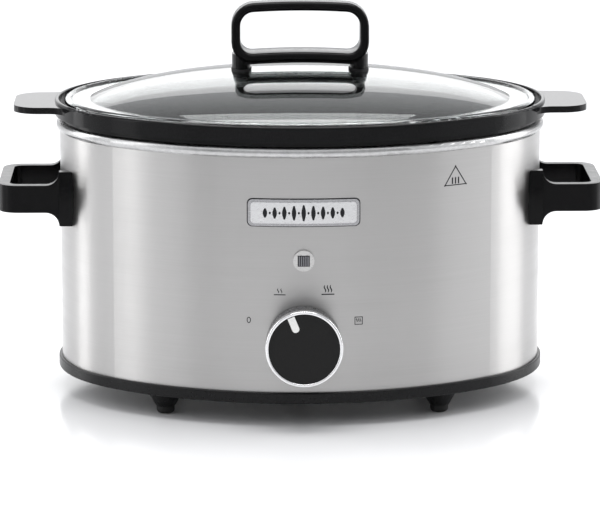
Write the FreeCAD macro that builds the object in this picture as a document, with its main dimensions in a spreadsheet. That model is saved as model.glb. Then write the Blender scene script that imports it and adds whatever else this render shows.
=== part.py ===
import FreeCAD, Part
import math
import os
import re
import Sketcher

# Oval slow cooker. Millimetres, +X right, +Y back, +Z up; the front, with the knob, faces -Y.
# The origin is on the floor under the middle of the base.
# "Inset" and "out" are measured square to the outer shell, inwards and outwards.

SIZES = {
    # Every "rise" is a height above the underside of the base.
    # outer shell: an oval of four arcs, seen from above
    "shell_half_x": 150.0,
    "shell_half_y": 117.0,
    "end_radius": 98.0,
    "shell_sheet": 0.6,
    "shell_seen_height": 143.1,
    "fit_gap": 0.3,
    "rear_plate_half_width": 30.0,
    # base, legs and feet
    "foot_height": 4.5,
    "foot_radius": 5.5,
    "foot_round": 2.2,
    "foot_plug_radius": 2.6,
    "foot_plug_depth": 5.0,
    "leg_height": 9.3,
    "leg_top_radius": 12.0,
    "leg_tip_radius": 5.9,
    "leg_place_x": 84.0,
    "leg_place_y": 80.0,
    "base_floor": 3.0,
    "base_ring_height": 6.9,
    "base_ring_out": 2.1,
    "base_ring_round": 1.0,
    "base_seat_gap": 0.12,
    "base_rib_wall": 2.0,
    "base_rib_height": 8.5,
    # heating well with the rolled rim that closes over the shell
    "well_sheet": 0.8,
    "bead_radius": 3.5,
    "bead_inset": 1.4,
    "well_inset_top": 12.0,
    "well_inset_floor": 20.0,
    "wiring_space": 30.0,
    "well_corner": 12.0,
    # stoneware crock
    "crock_inset_top": 15.8,
    "crock_inset_floor": 23.5,
    "crock_wall": 7.0,
    "crock_floor": 8.0,
    "crock_hang": 5.0,
    "crock_corner": 14.0,
    "throat_drop": 9.5,
    "lip_gap": 2.9,
    "lip_foot_inset": 1.0,
    "lip_height": 9.6,
    "lip_out": 3.0,
    "lip_ridge": 2.5,
    "lip_round": 1.5,
    "ledge_drop": 4.8,
    "ledge_inset": 13.0,
    "ear_reach": 28.0,
    "ear_half_width": 31.0,
    "ear_thickness": 4.0,
    "ear_drop": 2.0,
    "ear_round": 16.0,
    "ear_flare": 12.0,
    # glass lid
    "lid_inset": 3.0,
    "lid_bead_radius": 2.7,
    "lid_flange_inset": 19.0,
    "lid_flange_sheet": 2.8,
    "dome_inset": 7.0,
    "dome_rise": 30.3,
    "dome_sink": 10.7,
    "glass": 4.0,
    # lid handle
    "loop_half_width": 42.8,
    "loop_half_gap": 36.5,
    "loop_depth": 27.0,
    "loop_foot_thickness": 6.4,
    "loop_gap_height": 29.8,
    "loop_bar": 5.3,
    "loop_round": 8.0,
    "loop_edge": 1.6,
    "gasket": 0.8,
    "lid_screw_place": 37.6,
    "lid_screw_radius": 2.0,
    "lid_screw_bite": 14.0,
    "lid_washer_radius": 6.2,
    "lid_washer_drop": 3.2,
    "lid_screw_head_radius": 4.6,
    "lid_screw_head": 2.8,
    # side handles
    "handle_reach": 37.3,
    "handle_half_width": 40.0,
    "handle_arm": 7.0,
    "handle_bar": 6.5,
    "handle_height": 17.0,
    "handle_drop": 45.3,
    "handle_round": 12.0,
    "handle_edge": 1.8,
    "flare_height": 34.0,
    "flare_reach": 6.0,
    "handle_screw_radius": 2.0,
    "handle_screw_head_radius": 4.0,
    "handle_screw_head": 2.2,
    "handle_screw_bite": 8.0,
    "handle_screw_place": 34.8,
    # control knob
    "knob_rise": 37.9,
    "knob_gap": 1.0,
    "knob_radius": 23.3,
    "knob_ring_wall": 2.0,
    "knob_ring_depth": 5.0,
    "knob_skirt_radius": 22.4,
    "knob_skirt_wall": 2.2,
    "knob_skirt_depth": 14.5,
    "knob_hub_radius": 6.5,
    "knurl_count": 72.0,
    "knurl_depth": 0.5,
    "knob_face_depth": 4.2,
    "pointer_length": 10.0,
    "pointer_width": 4.4,
    "pointer_raise": 0.5,
    "rest_angle": 22.5,
    # rotary switch behind the knob
    "shaft_radius": 3.0,
    "shaft_play": 0.05,
    "bushing_radius": 4.2,
    "bracket_setback": 3.5,
    "bracket_sheet": 1.2,
    "bracket_half_width": 24.0,
    "bracket_height": 50.0,
    "bracket_foot": 12.0,
    "switch_half_width": 15.0,
    "switch_depth": 12.0,
    "switch_wall": 1.6,
    "cam_radius": 10.0,
    "cam_depth": 6.0,
    "nut_radius": 7.2,
    "nut_height": 2.0,
    # indicator lamp
    "lamp_rise": 88.1,
    "lamp_ring_radius": 6.4,
    "lamp_ring_proud": 1.6,
    "lamp_barrel_radius": 5.2,
    "lamp_barrel_depth": 9.0,
    "lens_width": 7.3,
    "lens_height": 6.7,
    "lens_proud": 0.6,
    "lamp_radius": 2.5,
    "lamp_length": 7.0,
    # badge
    "badge_rise": 117.3,
    "badge_half_width": 33.5,
    "badge_half_height": 8.1,
    "badge_border": 1.7,
    "badge_proud": 1.4,
    "badge_pin_radius": 1.5,
    "badge_pin_place": 24.0,
    "badge_pin_length": 4.0,
    "push_nut_radius": 3.5,
    "push_nut_sheet": 0.8,
    # heaters round the well
    "heater_gap": 0.25,
    "heater_thickness": 1.5,
    "heater_height": 22.0,
    "heater_low_rise": 57.4,
    "heater_high_rise": 84.4,
    "strap_sheet": 0.7,
    "strap_height": 7.0,
    # centre fixing under the well
    "stud_radius": 3.0,
    "stud_tail": 3.4,
    "spacer_radius": 6.0,
    "shield_drop": 9.6,
    "shield_sheet": 1.0,
    "shield_inset": 44.0,
    "stud_nut_radius": 5.8,
    "stud_nut_height": 4.2,
    "stud_washer_radius": 9.0,
    "stud_washer_sheet": 1.2,
    "earth_ring_sheet": 0.8,
    # wiring
    "gland_rise": 21.9,
    "gland_bore": 3.6,
    "gland_radius": 6.0,
    "gland_flange_radius": 9.0,
    "gland_flange": 2.5,
    "gland_nose": 17.0,
    "gland_tail": 9.0,
    "gland_nut_radius": 9.5,
    "gland_nut": 4.0,
    "block_x": 36.0,
    "block_y": 62.0,
    "block_length": 36.0,
    "block_width": 15.0,
    "block_height": 12.0,
    "block_screw_radius": 2.2,
    "fuse_x": 42.0,
    "fuse_y": 22.0,
    "fuse_radius": 2.1,
    "fuse_length": 14.0,
    "fuse_clip_wall": 0.8,
    "wire_radius": 1.3,
    "wire_gap": 0.4,
}

# Sizes and levels that follow from those above, as the formulas of a second sheet.
LAYOUT = {
    "side_radius": "((shell_half_x - end_radius)^2 + shell_half_y^2 - end_radius^2)"
                   " / (2 * (shell_half_y - end_radius))",
    "base_bottom": "foot_height + leg_height",
    "floor_top": "base_bottom + base_floor",
    "ring_top": "base_bottom + base_ring_height",
    "bead_level": "ring_top + shell_seen_height + bead_radius",
    "rim_top": "bead_level + bead_radius",
    "shell_top": "bead_level + sqrt((bead_radius - well_sheet)^2 - bead_inset^2) - fit_gap",
    "well_floor": "floor_top + wiring_space",
    "well_slope": "(well_inset_floor - well_inset_top) / (rim_top - well_floor)",
    "crock_bottom": "well_floor + well_sheet + crock_hang",
    "lip_bottom": "rim_top + lip_gap",
    "lip_top": "lip_bottom + lip_height",
    "ledge": "lip_top - ledge_drop",
    "ear_top": "lip_top - ear_drop",
    "lid_bead_level": "ledge + fit_gap + lid_bead_radius",
    "dome_level": "lid_bead_level - dome_sink",
    "dome_top": "dome_level + dome_rise",
    "loop_floor": "dome_top + gasket + loop_foot_thickness",
    "loop_ceiling": "loop_floor + loop_gap_height",
    "loop_top": "loop_ceiling + loop_bar",
    "washer_top": "dome_top - glass",
    "washer_bottom": "washer_top - lid_washer_drop",
    "handle_level": "rim_top - handle_drop",
    "knob_level": "base_bottom + knob_rise",
    "lamp_level": "base_bottom + lamp_rise",
    "badge_level": "base_bottom + badge_rise",
    "heater_low_level": "base_bottom + heater_low_rise",
    "heater_high_level": "base_bottom + heater_high_rise",
    "shield_level": "well_floor - shield_drop",
    "gland_level": "base_bottom + gland_rise",
    "knob_face_y": "knob_gap + knob_skirt_depth + knob_ring_depth",
    "bracket_y": "shell_half_y - bracket_setback",
    "switch_front": "bracket_y - bracket_sheet",
    "stud_bottom": "base_bottom - stud_washer_sheet - stud_nut_height - stud_tail + 1.6",
}

SHEET_OF = {name: "Sizes." for name in SIZES}
SHEET_OF.update({name: "Layout." for name in LAYOUT})

os.makedirs("parts", exist_ok=True)
doc = FreeCAD.newDocument("slow_cooker")


def tied(text):
    """An expression in which each size is led by the sheet that holds it."""
    return re.sub(r"[A-Za-z_]\w*", lambda word: SHEET_OF.get(word.group(), "") + word.group(), text)


def fill_sheet(sheet_name, entries):
    """Write one alias per row: its name in column A, its number or formula in column B."""
    sheet = doc.addObject("Spreadsheet::Sheet", sheet_name)
    for row, (name, entry) in enumerate(entries.items(), start=1):
        sheet.set(f"A{row}", name)
        sheet.set(f"B{row}", f"={tied(entry)}" if isinstance(entry, str) else str(entry))
        sheet.setAlias(f"B{row}", name)
    doc.recompute()
    return sheet


sizes = fill_sheet("Sizes", SIZES)
layout = fill_sheet("Layout", {name: text.replace("Layout.", "") for name, text in LAYOUT.items()})


def value(text):
    """The number that an expression stands for now."""
    return float(sizes.evalExpression(tied(str(text))))


def bind(item, prop, text):
    item.setExpression(prop, tied(str(text)))


def place(item, x="0", y="0", z="0", turn=None):
    """Put an object at three expressions, turned by a fixed rotation first."""
    if turn is not None:
        item.Placement = FreeCAD.Placement(FreeCAD.Vector(), turn)
    for axis, text in zip("xyz", (x, y, z)):
        if text != "0":
            bind(item, f"Placement.Base.{axis}", text)
    return item


ALONG_X = FreeCAD.Rotation(FreeCAD.Vector(0, 1, 0), 90)
ALONG_Y = FreeCAD.Rotation(FreeCAD.Vector(1, 0, 0), -90)
TOWARD_FRONT = FreeCAD.Rotation(FreeCAD.Vector(1, 0, 0), 90)


# ---------- sketches ----------

def new_body(name):
    return doc.addObject("PartDesign::Body", name)


def new_sketch(body, name, role, level="0"):
    """A sketch on one of the body's own origin planes, moved along the plane's normal."""
    made = body.newObject("Sketcher::SketchObject", name)
    plane = next(item for item in body.Origin.OriginFeatures if item.Role == role)
    made.AttachmentSupport = (plane, [""])
    made.MapMode = "FlatFace"
    if level != "0":
        bind(made, "AttachmentOffset.Base.z", level)
    return made


def drive(sketch, constraint, text):
    """Add a dimension to a sketch and bind it to an expression."""
    index = sketch.addConstraint(constraint)
    sketch.setExpression(f"Constraints[{index}]", tied(text))


def fix_point(sketch, item, point, across, up):
    """Fix a point of a sketch item at two expressions from the sketch's origin."""
    for text, kind, axis in ((across, "DistanceX", -2), (up, "DistanceY", -1)):
        now = value(text)
        if abs(now) < 1e-9:
            sketch.addConstraint(Sketcher.Constraint("PointOnObject", item, point, axis))
        elif now > 0:
            drive(sketch, Sketcher.Constraint(kind, -1, 1, item, point, now), text)
        else:
            drive(sketch, Sketcher.Constraint(kind, item, point, -1, 1, -now), f"-({text})")


def outline(sketch, corners):
    """A closed run of straight lines through corners given as pairs of expressions."""
    spots = [FreeCAD.Vector(value(across), value(up), 0) for across, up in corners]
    lines = [
        sketch.addGeometry(Part.LineSegment(spot, spots[(i + 1) % len(spots)]), False)
        for i, spot in enumerate(spots)
    ]
    for i, line in enumerate(lines):
        sketch.addConstraint(Sketcher.Constraint("Coincident", lines[i - 1], 2, line, 1))
        fix_point(sketch, line, 1, *corners[i])


def rectangle(sketch, half_width, half_height, across="0", up="0"):
    low, high = f"({up}) - ({half_height})", f"({up}) + ({half_height})"
    left, right = f"({across}) - ({half_width})", f"({across}) + ({half_width})"
    outline(sketch, [(left, low), (right, low), (right, high), (left, high)])


def circle(sketch, radius, across="0", up="0"):
    spot = FreeCAD.Vector(value(across), value(up), 0)
    made = sketch.addGeometry(Part.Circle(spot, FreeCAD.Vector(0, 0, 1), value(radius)), False)
    drive(sketch, Sketcher.Constraint("Radius", made, value(radius)), radius)
    if value(across) == 0 and value(up) == 0:
        sketch.addConstraint(Sketcher.Constraint("Coincident", made, 3, -1, 1))
    else:
        fix_point(sketch, made, 3, across, up)


def oval(sketch, out="0"):
    """The shell's oval, moved outwards by an expression: two end arcs and two side arcs."""
    offset = value(out)
    end_x = value("shell_half_x - end_radius")
    end = value("end_radius") + offset
    side = value("side_radius") + offset
    side_y = value("shell_half_y - side_radius")
    turn = math.atan2(-side_y, end_x)
    plan = [
        (end_x, 0, end, -turn, turn),
        (0, side_y, side, turn, math.pi - turn),
        (-end_x, 0, end, math.pi - turn, math.pi + turn),
        (0, -side_y, side, math.pi + turn, 2 * math.pi - turn),
    ]
    up = FreeCAD.Vector(0, 0, 1)
    right, back, left, front = (
        sketch.addGeometry(
            Part.ArcOfCircle(Part.Circle(FreeCAD.Vector(x, y, 0), up, radius), start, stop), False)
        for x, y, radius, start, stop in plan
    )
    rules = [
        ("PointOnObject", right, 3, -1),
        ("Vertical", right, 1, right, 2),
        ("PointOnObject", back, 3, -2),
        ("Horizontal", back, 1, back, 2),
        ("Tangent", right, 2, back, 1),
        ("PointOnObject", left, 3, -1),
        ("Equal", right, left),
        ("Coincident", back, 2, left, 1),
        ("Vertical", left, 1, left, 2),
        ("Coincident", left, 2, front, 1),
        ("Coincident", front, 2, right, 1),
        ("Equal", back, front),
    ]
    for rule in rules:
        sketch.addConstraint(Sketcher.Constraint(*rule))
    drive(sketch, Sketcher.Constraint("Radius", right, end), f"end_radius + ({out})")
    drive(sketch, Sketcher.Constraint("DistanceX", -1, 1, right, 3, end_x), "shell_half_x - end_radius")
    drive(sketch, Sketcher.Constraint("Radius", back, side), f"side_radius + ({out})")


# ---------- features ----------

def pad(body, sketch, length, symmetric=False, backwards=False):
    made = body.newObject("PartDesign::Pad", f"{sketch.Name}_pad")
    made.Profile = sketch
    made.Reversed = backwards
    made.SideType = "Symmetric" if symmetric else "One side"
    bind(made, "Length", length)
    doc.recompute()
    return made


def pocket(body, sketch, length, symmetric=False, backwards=False):
    """Cut a sketch through a body, and make sure that it took something away."""
    before = body.Shape.Volume
    made = body.newObject("PartDesign::Pocket", f"{sketch.Name}_pocket")
    made.Profile = sketch
    made.Reversed = backwards
    made.SideType = "Symmetric" if symmetric else "One side"
    bind(made, "Length", length)
    doc.recompute()
    assert body.Shape.Volume < before - 1e-3, f"{sketch.Name} cuts nothing"
    return made


def sweep_round(body, name, section, out="0", kind="PartDesign::AdditivePipe"):
    """Carry a section round the oval. It is drawn on XZ: across is X and up is Z."""
    path = new_sketch(body, f"{name}_path", "XY_Plane")
    oval(path, out)
    made = body.newObject(kind, f"{name}_sweep")
    made.Profile = section
    made.Spine = (path, [""])
    doc.recompute()
    return made


def at_out(out):
    """The X of a point on the right-hand end that is so far outside the shell's line."""
    return f"shell_half_x + ({out})"


def outside_shell(point):
    """How far a point is outside the shell's oval, seen from above."""
    end_x = value("shell_half_x - end_radius")
    side_y = value("shell_half_y - side_radius")
    x, y = abs(point.x), abs(point.y)
    if x > end_x and math.atan2(y, x - end_x) < math.atan2(-side_y, end_x):
        return math.hypot(x - end_x, y) - value("end_radius")
    return math.hypot(x, y - side_y) - value("side_radius")


def middle(edge):
    return edge.valueAt((edge.FirstParameter + edge.LastParameter) / 2)


def oval_edges(body, out, level):
    """The names of the edges that follow the oval at a given distance and height."""
    wanted_out, wanted_level = value(out), value(level)
    return [
        f"Edge{i}" for i, edge in enumerate(body.Shape.Edges, start=1)
        if edge.BoundBox.ZLength < 1e-3
        and abs(middle(edge).z - wanted_level) < 1e-3
        and abs(outside_shell(middle(edge)) - wanted_out) < 1e-2
        and edge.Length > 20
    ]


def edges_where(body, test):
    return [f"Edge{i}" for i, edge in enumerate(body.Shape.Edges, start=1) if test(edge)]


def soften(body, name, edges, radius, kind="PartDesign::Fillet"):
    """Fillet or chamfer the named edges of a body's tip."""
    assert edges, f"{name} finds no edges"
    base = body.Tip
    made = body.newObject(kind, name)
    made.Base = (base, edges)
    bind(made, "Radius" if kind.endswith("Fillet") else "Size", radius)
    doc.recompute()
    return made


def turned(body, name, corners):
    """A solid of revolution about the body's Z axis: corners are radius and height."""
    section = new_sketch(body, f"{name}_section", "XZ_Plane")
    outline(section, corners)
    made = body.newObject("PartDesign::Revolution", f"{name}_turn")
    made.Profile = section
    made.ReferenceAxis = (section, ["V_Axis"])
    made.Angle = 360
    doc.recompute()
    return made


# ---------- primitives and booleans ----------

def primitive(kind, name, **bound):
    made = doc.addObject(f"Part::{kind}", name)
    for prop, text in bound.items():
        bind(made, prop, text)
    return made


def cylinder(name, radius, height, x="0", y="0", z="0", turn=None):
    return place(primitive("Cylinder", name, Radius=radius, Height=height), x, y, z, turn)


def block(name, length, width, height, x="0", y="0", z="0"):
    """A box centred on x and y, standing on z."""
    made = primitive("Box", name, Length=length, Width=width, Height=height)
    return place(made, f"({x}) - ({length}) / 2", f"({y}) - ({width}) / 2", z)


def cut(name, base, tools):
    made = doc.addObject("Part::Cut", name)
    made.Base = base
    made.Tool = tools[0] if len(tools) == 1 else fuse(f"{name}_tools", tools)
    return made


def fuse(name, pieces):
    made = doc.addObject("Part::MultiFuse", name)
    made.Shapes = pieces
    return made


def common(name, base, tool):
    made = doc.addObject("Part::Common", name)
    made.Base = base
    made.Tool = tool
    return made


def together(name, pieces):
    """Several separate solids that make one sub-part."""
    made = doc.addObject("Part::Compound", name)
    made.Links = pieces
    return made


NODES = []


def node(item, name):
    item.Label = name
    NODES.append(item)
    return item


# ---------- base, legs and feet ----------

def leg_spots():
    """The sign of x and y at each of the four legs."""
    return [(x, y) for x in (-1, 1) for y in (-1, 1)]


def make_base():
    body = new_body("base_body")
    floor = new_sketch(body, "base_plan", "XY_Plane", "base_bottom")
    oval(floor, "base_ring_out")
    pad(body, floor, "base_ring_height")
    well = new_sketch(body, "base_seat", "XY_Plane", "floor_top")
    oval(well, "base_seat_gap")
    pocket(body, well, "base_ring_height", backwards=True)
    rib = new_sketch(body, "base_rib", "XY_Plane", "floor_top")
    oval(rib, "-(shell_sheet + fit_gap)")
    oval(rib, "-(shell_sheet + fit_gap + base_rib_wall)")
    pad(body, rib, "base_rib_height")
    outer = oval_edges(body, "base_ring_out", "ring_top") + oval_edges(body, "base_ring_out", "base_bottom")
    soften(body, "base_ring_round_edge", outer, "base_ring_round")
    legs = []
    for i, (side, end) in enumerate(leg_spots()):
        spot = {"x": f"{side} * leg_place_x", "y": f"{end} * leg_place_y"}
        leg = primitive("Cone", f"leg_{i}", Radius1="leg_tip_radius", Radius2="leg_top_radius",
                        Height="leg_height + base_floor / 2")
        legs.append(place(leg, z="foot_height", **spot))
    holes = [
        cylinder(f"leg_hole_{i}", "foot_plug_radius", "foot_plug_depth", f"{side} * leg_place_x",
                 f"{end} * leg_place_y", "foot_height")
        for i, (side, end) in enumerate(leg_spots())
    ]
    holes.append(cylinder("stud_hole", "stud_radius", "base_floor", z="base_bottom"))
    holes.append(block("bracket_room", "2 * bracket_half_width + 1", "10", "base_rib_height + 1",
                       y="5 - bracket_y - fit_gap", z="floor_top"))
    node(cut("base_cut", fuse("base_fuse", [body] + legs), holes), "base")


def make_feet():
    """A rounded rubber foot with a plug that sits in the hollow end of each leg."""
    feet = []
    for i, (side, end) in enumerate(leg_spots()):
        body = new_body(f"foot_{i}")
        turned(body, f"foot_{i}", [
            ("0", "0"), ("foot_radius", "0"), ("foot_radius", "foot_height"),
            ("foot_plug_radius", "foot_height"),
            ("foot_plug_radius", "foot_height + foot_plug_depth"), ("0", "foot_height + foot_plug_depth"),
        ])
        sole = edges_where(body, lambda edge: abs(middle(edge).z) < 1e-6 and edge.BoundBox.ZLength < 1e-6
                           and edge.Length > 10)
        soften(body, f"foot_{i}_round", sole, "foot_round")
        feet.append(place(body, f"{side} * leg_place_x", f"{end} * leg_place_y"))
    node(together("feet", feet), "rubber_feet")


# ---------- outer shell ----------

def make_shell():
    body = new_body("shell_body")
    plan = new_sketch(body, "shell_plan", "XY_Plane", "floor_top")
    oval(plan, "0")
    oval(plan, "-shell_sheet")
    pad(body, plan, "shell_top - floor_top")
    through = "shell_half_y + 10"
    front = f"-({through})"
    holes = [
        cylinder("switch_hole", "bushing_radius + fit_gap", "20", "0", front, "knob_level", ALONG_Y),
        cylinder("lamp_hole", "lamp_barrel_radius", "20", "0", front, "lamp_level", ALONG_Y),
        cylinder("gland_hole", "gland_radius", "20", "0", through, "gland_level", TOWARD_FRONT),
    ]
    for i, side in enumerate((-1, 1)):
        holes.append(cylinder(f"badge_hole_{i}", "badge_pin_radius", "20", f"{side} * badge_pin_place",
                              front, "badge_level", ALONG_Y))
    holes += handle_screw_rods("shell_hole", "-4", "8")
    holed = cut("shell_cut", body, holes)
    # the wrap stops on both sides of the rear plate, which carries the cord gland
    opening = block("rear_opening", "2 * rear_plate_half_width", "shell_half_y", "shell_top + 10",
                    "0", "shell_half_y")
    node(cut("shell_wrap", holed, [opening]), "outer_shell")
    zone = block("rear_zone", "2 * (rear_plate_half_width - fit_gap)", "shell_half_y", "shell_top + 10",
                 "0", "shell_half_y")
    node(common("rear_cut", holed, zone), "rear_plate")


def screw_angle():
    """The slope of the shell where a handle's screw goes through it, in degrees."""
    return "asin(handle_screw_place / end_radius)"


def handle_screw_rods(name, start, length, radius="handle_screw_radius"):
    """A rod square to the shell at each of the four screws, from start outside the shell's face."""
    rods = []
    for side in (-1, 1):
        for end in (-1, 1):
            rod = primitive("Cylinder", f"{name}_{len(rods)}", Radius=radius, Height=length)
            turn = math.radians(value(screw_angle()))
            along = FreeCAD.Vector(side * math.cos(turn), end * math.sin(turn), 0)
            rod.Placement = FreeCAD.Placement(
                FreeCAD.Vector(), FreeCAD.Rotation(FreeCAD.Vector(0, 0, 1), along))
            reach = f"(end_radius + ({start}))"
            bind(rod, "Placement.Base.x",
                 f"{side} * (shell_half_x - end_radius + {reach} * cos({screw_angle()}))")
            bind(rod, "Placement.Base.y", f"{end} * {reach} * sin({screw_angle()})")
            bind(rod, "Placement.Base.z", "handle_level")
            rods.append(rod)
    return rods


# ---------- heating well ----------

def well_inset(level):
    """How far the outer face of the well's sloping wall is inside the shell at a height."""
    return f"(well_inset_top + well_slope * (rim_top - ({level})))"


def make_well():
    body = new_body("well_body")
    wall = new_sketch(body, "well_wall", "XZ_Plane")
    outline(wall, [
        (at_out("-bead_inset"), "rim_top"),
        (at_out("-bead_inset"), "rim_top - well_sheet"),
        (at_out("-well_inset_top"), "rim_top - well_sheet"),
        (at_out("-well_inset_floor"), "well_floor"),
        (at_out("-well_inset_floor - well_sheet"), "well_floor"),
        (at_out("-well_inset_top - well_sheet"), "rim_top"),
    ])
    sweep_round(body, "well_wall", wall)
    bead = new_sketch(body, "well_bead", "XZ_Plane")
    circle(bead, "bead_radius", at_out("-bead_inset"), "bead_level")
    sweep_round(body, "well_bead", bead)
    curl = new_sketch(body, "well_curl", "XZ_Plane")
    circle(curl, "bead_radius - well_sheet", at_out("-bead_inset"), "bead_level")
    sweep_round(body, "well_curl", curl, kind="PartDesign::SubtractivePipe")
    slot = new_sketch(body, "well_slot", "XZ_Plane")
    outline(slot, [
        (at_out("-shell_sheet - fit_gap"), "bead_level - bead_radius - 1"),
        (at_out("fit_gap"), "bead_level - bead_radius - 1"),
        (at_out("fit_gap"), "bead_level"),
        (at_out("-shell_sheet - fit_gap"), "bead_level"),
    ])
    sweep_round(body, "well_slot", slot, kind="PartDesign::SubtractivePipe")
    floor = new_sketch(body, "well_bottom", "XY_Plane", "well_floor")
    oval(floor, "-well_inset_floor - well_sheet / 2")
    pad(body, floor, "well_sheet")
    inside_inset = "-(well_inset_floor + well_sheet - well_slope * well_sheet)"
    soften(body, "well_corner_inside", oval_edges(body, inside_inset, "well_floor + well_sheet"),
           "well_corner")
    soften(body, "well_corner_outside", oval_edges(body, "-well_inset_floor", "well_floor"),
           "well_corner + well_sheet")
    hole = cylinder("well_stud_hole", "stud_radius - 1", "well_sheet", z="well_floor")
    node(cut("well_cut", body, [hole]), "heating_well")


# ---------- stoneware crock ----------

def make_crock():
    body = new_body("crock_body")
    wall = new_sketch(body, "crock_section", "XZ_Plane")
    outline(wall, [
        (at_out("lip_out"), "lip_bottom"),
        (at_out("lip_out"), "lip_top"),
        (at_out("lip_out - lip_ridge"), "lip_top"),
        (at_out("lip_out - lip_ridge"), "ledge"),
        (at_out("-ledge_inset"), "ledge"),
        (at_out("-crock_inset_top - crock_wall"), "ledge - throat_drop"),
        (at_out("-crock_inset_floor - crock_wall"), "crock_bottom"),
        (at_out("-crock_inset_floor"), "crock_bottom"),
        (at_out("-crock_inset_top"), "rim_top"),
        (at_out("-lip_foot_inset"), "rim_top"),
        (at_out("-lip_foot_inset"), "lip_bottom"),
    ])
    sweep_round(body, "crock_wall", wall)
    floor = new_sketch(body, "crock_base", "XY_Plane", "crock_bottom")
    oval(floor, "-crock_inset_floor - crock_wall / 2")
    pad(body, floor, "crock_floor")
    ear_middle = "shell_half_x + ear_reach - (ear_reach + 12) / 2"
    for side in (-1, 1):
        ear = new_sketch(body, f"ear_{'left' if side < 0 else 'right'}", "XY_Plane",
                         "ear_top - ear_thickness")
        rectangle(ear, "(ear_reach + 12) / 2", "ear_half_width", f"{side} * ({ear_middle})")
        pad(body, ear, "ear_thickness")
    recess = new_sketch(body, "lid_recess", "XY_Plane", "ledge")
    oval(recess, "lip_out - lip_ridge")
    pocket(body, recess, "lip_top - ledge", backwards=True)
    tip = value("shell_half_x + ear_reach")
    soften(body, "ear_tips", edges_where(
        body, lambda edge: abs(abs(middle(edge).x) - tip) < 1e-3 and edge.BoundBox.ZLength > 1
        and edge.BoundBox.YLength < 1e-3), "ear_round")
    half = value("ear_half_width")
    soften(body, "ear_flares", edges_where(
        body, lambda edge: abs(abs(middle(edge).y) - half) < 1e-3 and edge.BoundBox.ZLength > 1
        and abs(outside_shell(middle(edge)) - value("lip_out")) < 1e-2), "ear_flare")
    run = "(crock_inset_floor - crock_inset_top) / (rim_top - crock_bottom)"
    slope = f"(crock_inset_floor - crock_inset_top) / (ledge - throat_drop - crock_bottom)"
    inside = f"-(crock_inset_floor + crock_wall - {slope} * crock_floor)"
    soften(body, "crock_corner_inside", oval_edges(body, inside, "crock_bottom + crock_floor"),
           "crock_corner")
    soften(body, "crock_corner_outside", oval_edges(body, "-crock_inset_floor", "crock_bottom"),
           "crock_corner + crock_wall / 2")
    soften(body, "lip_outer_round", oval_edges(body, "lip_out", "lip_top"), "lip_round")
    soften(body, "lip_inner_round", oval_edges(body, "lip_out - lip_ridge", "lip_top"),
           "lip_ridge - lip_round - 0.2")
    node(body, "crock")


# ---------- glass lid ----------

def dome(name, grow):
    """The lid's ellipsoid, larger or smaller all round by an expression."""
    made = primitive("Ellipsoid", name, Radius1=f"dome_rise + ({grow})",
                     Radius2=f"shell_half_x - dome_inset + ({grow})",
                     Radius3=f"shell_half_y - dome_inset + ({grow})")
    return place(made, z="dome_level")


def lid_screw_spots():
    return ["-lid_screw_place", "lid_screw_place"]


def make_lid_glass():
    rim = new_body("lid_rim")
    bead = new_sketch(rim, "lid_bead", "XZ_Plane")
    circle(bead, "lid_bead_radius", at_out("-lid_inset - lid_bead_radius"), "lid_bead_level")
    sweep_round(rim, "lid_bead", bead)
    flange = new_sketch(rim, "lid_flange", "XY_Plane", "lid_bead_level - lid_flange_sheet / 2")
    oval(flange, "-lid_inset - lid_bead_radius")
    oval(flange, "-lid_flange_inset")
    pad(rim, flange, "lid_flange_sheet")
    hollow = cut("dome_hollow", dome("dome_outside", "0"), [dome("dome_inside", "-glass")])
    space = block("dome_space", "2 * shell_half_x", "2 * shell_half_y", "dome_rise + dome_sink",
                  z="lid_bead_level - lid_flange_sheet / 2")
    whole = fuse("lid_fuse", [common("dome_cap", hollow, space), rim])
    holes = [
        cylinder(f"lid_hole_{i}", "lid_screw_radius + fit_gap", "20", x, z="washer_bottom - 5")
        for i, x in enumerate(lid_screw_spots())
    ]
    node(cut("lid_cut", whole, holes), "lid_glass")


def make_lid_handle():
    body = new_body("loop_body")
    side = new_sketch(body, "loop_outside", "XZ_Plane")
    outline(side, [
        ("-loop_half_width", "dome_top - 4"), ("loop_half_width", "dome_top - 4"),
        ("loop_half_width", "loop_top - 1.2"), ("loop_half_width / 2", "loop_top"),
        ("-loop_half_width / 2", "loop_top"), ("-loop_half_width", "loop_top - 1.2"),
    ])
    pad(body, side, "loop_depth", symmetric=True)
    gap = new_sketch(body, "loop_gap", "XZ_Plane")
    outline(gap, [
        ("-loop_half_gap", "loop_floor"), ("loop_half_gap", "loop_floor"),
        ("loop_half_gap", "loop_ceiling - 1.2"), ("loop_half_gap / 2", "loop_ceiling"),
        ("-loop_half_gap / 2", "loop_ceiling"), ("-loop_half_gap", "loop_ceiling - 1.2"),
    ])
    pocket(body, gap, "2 * loop_depth", symmetric=True)

    def across(x, low, high):
        """Edges that run front to back at a distance from the middle, between two heights."""
        return edges_where(body, lambda edge: edge.BoundBox.YLength > value("loop_depth") - 0.1
                           and abs(abs(middle(edge).x) - value(x)) < 1e-3
                           and value(low) < middle(edge).z < value(high))
    soften(body, "loop_corners", across("loop_half_width", "loop_floor", "loop_top"), "loop_round")
    soften(body, "loop_gap_corners", across("loop_half_gap", "loop_floor - 1", "loop_top"),
           "loop_round - 1")
    rims = edges_where(body, lambda edge: abs(abs(middle(edge).y) - value("loop_depth / 2")) < 1e-3
                       and edge.BoundBox.YLength < 1e-3 and middle(edge).z > value("loop_floor - 0.5"))
    soften(body, "loop_soft_edges", rims, "loop_edge")
    tools = [dome("loop_seat", "gasket")]
    tools += [
        cylinder(f"loop_bore_{i}", "lid_screw_radius", "lid_screw_bite + gasket + 4", x, z="dome_top - 4")
        for i, x in enumerate(lid_screw_spots())
    ]
    node(cut("loop_cut", body, tools), "lid_handle")


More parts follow.
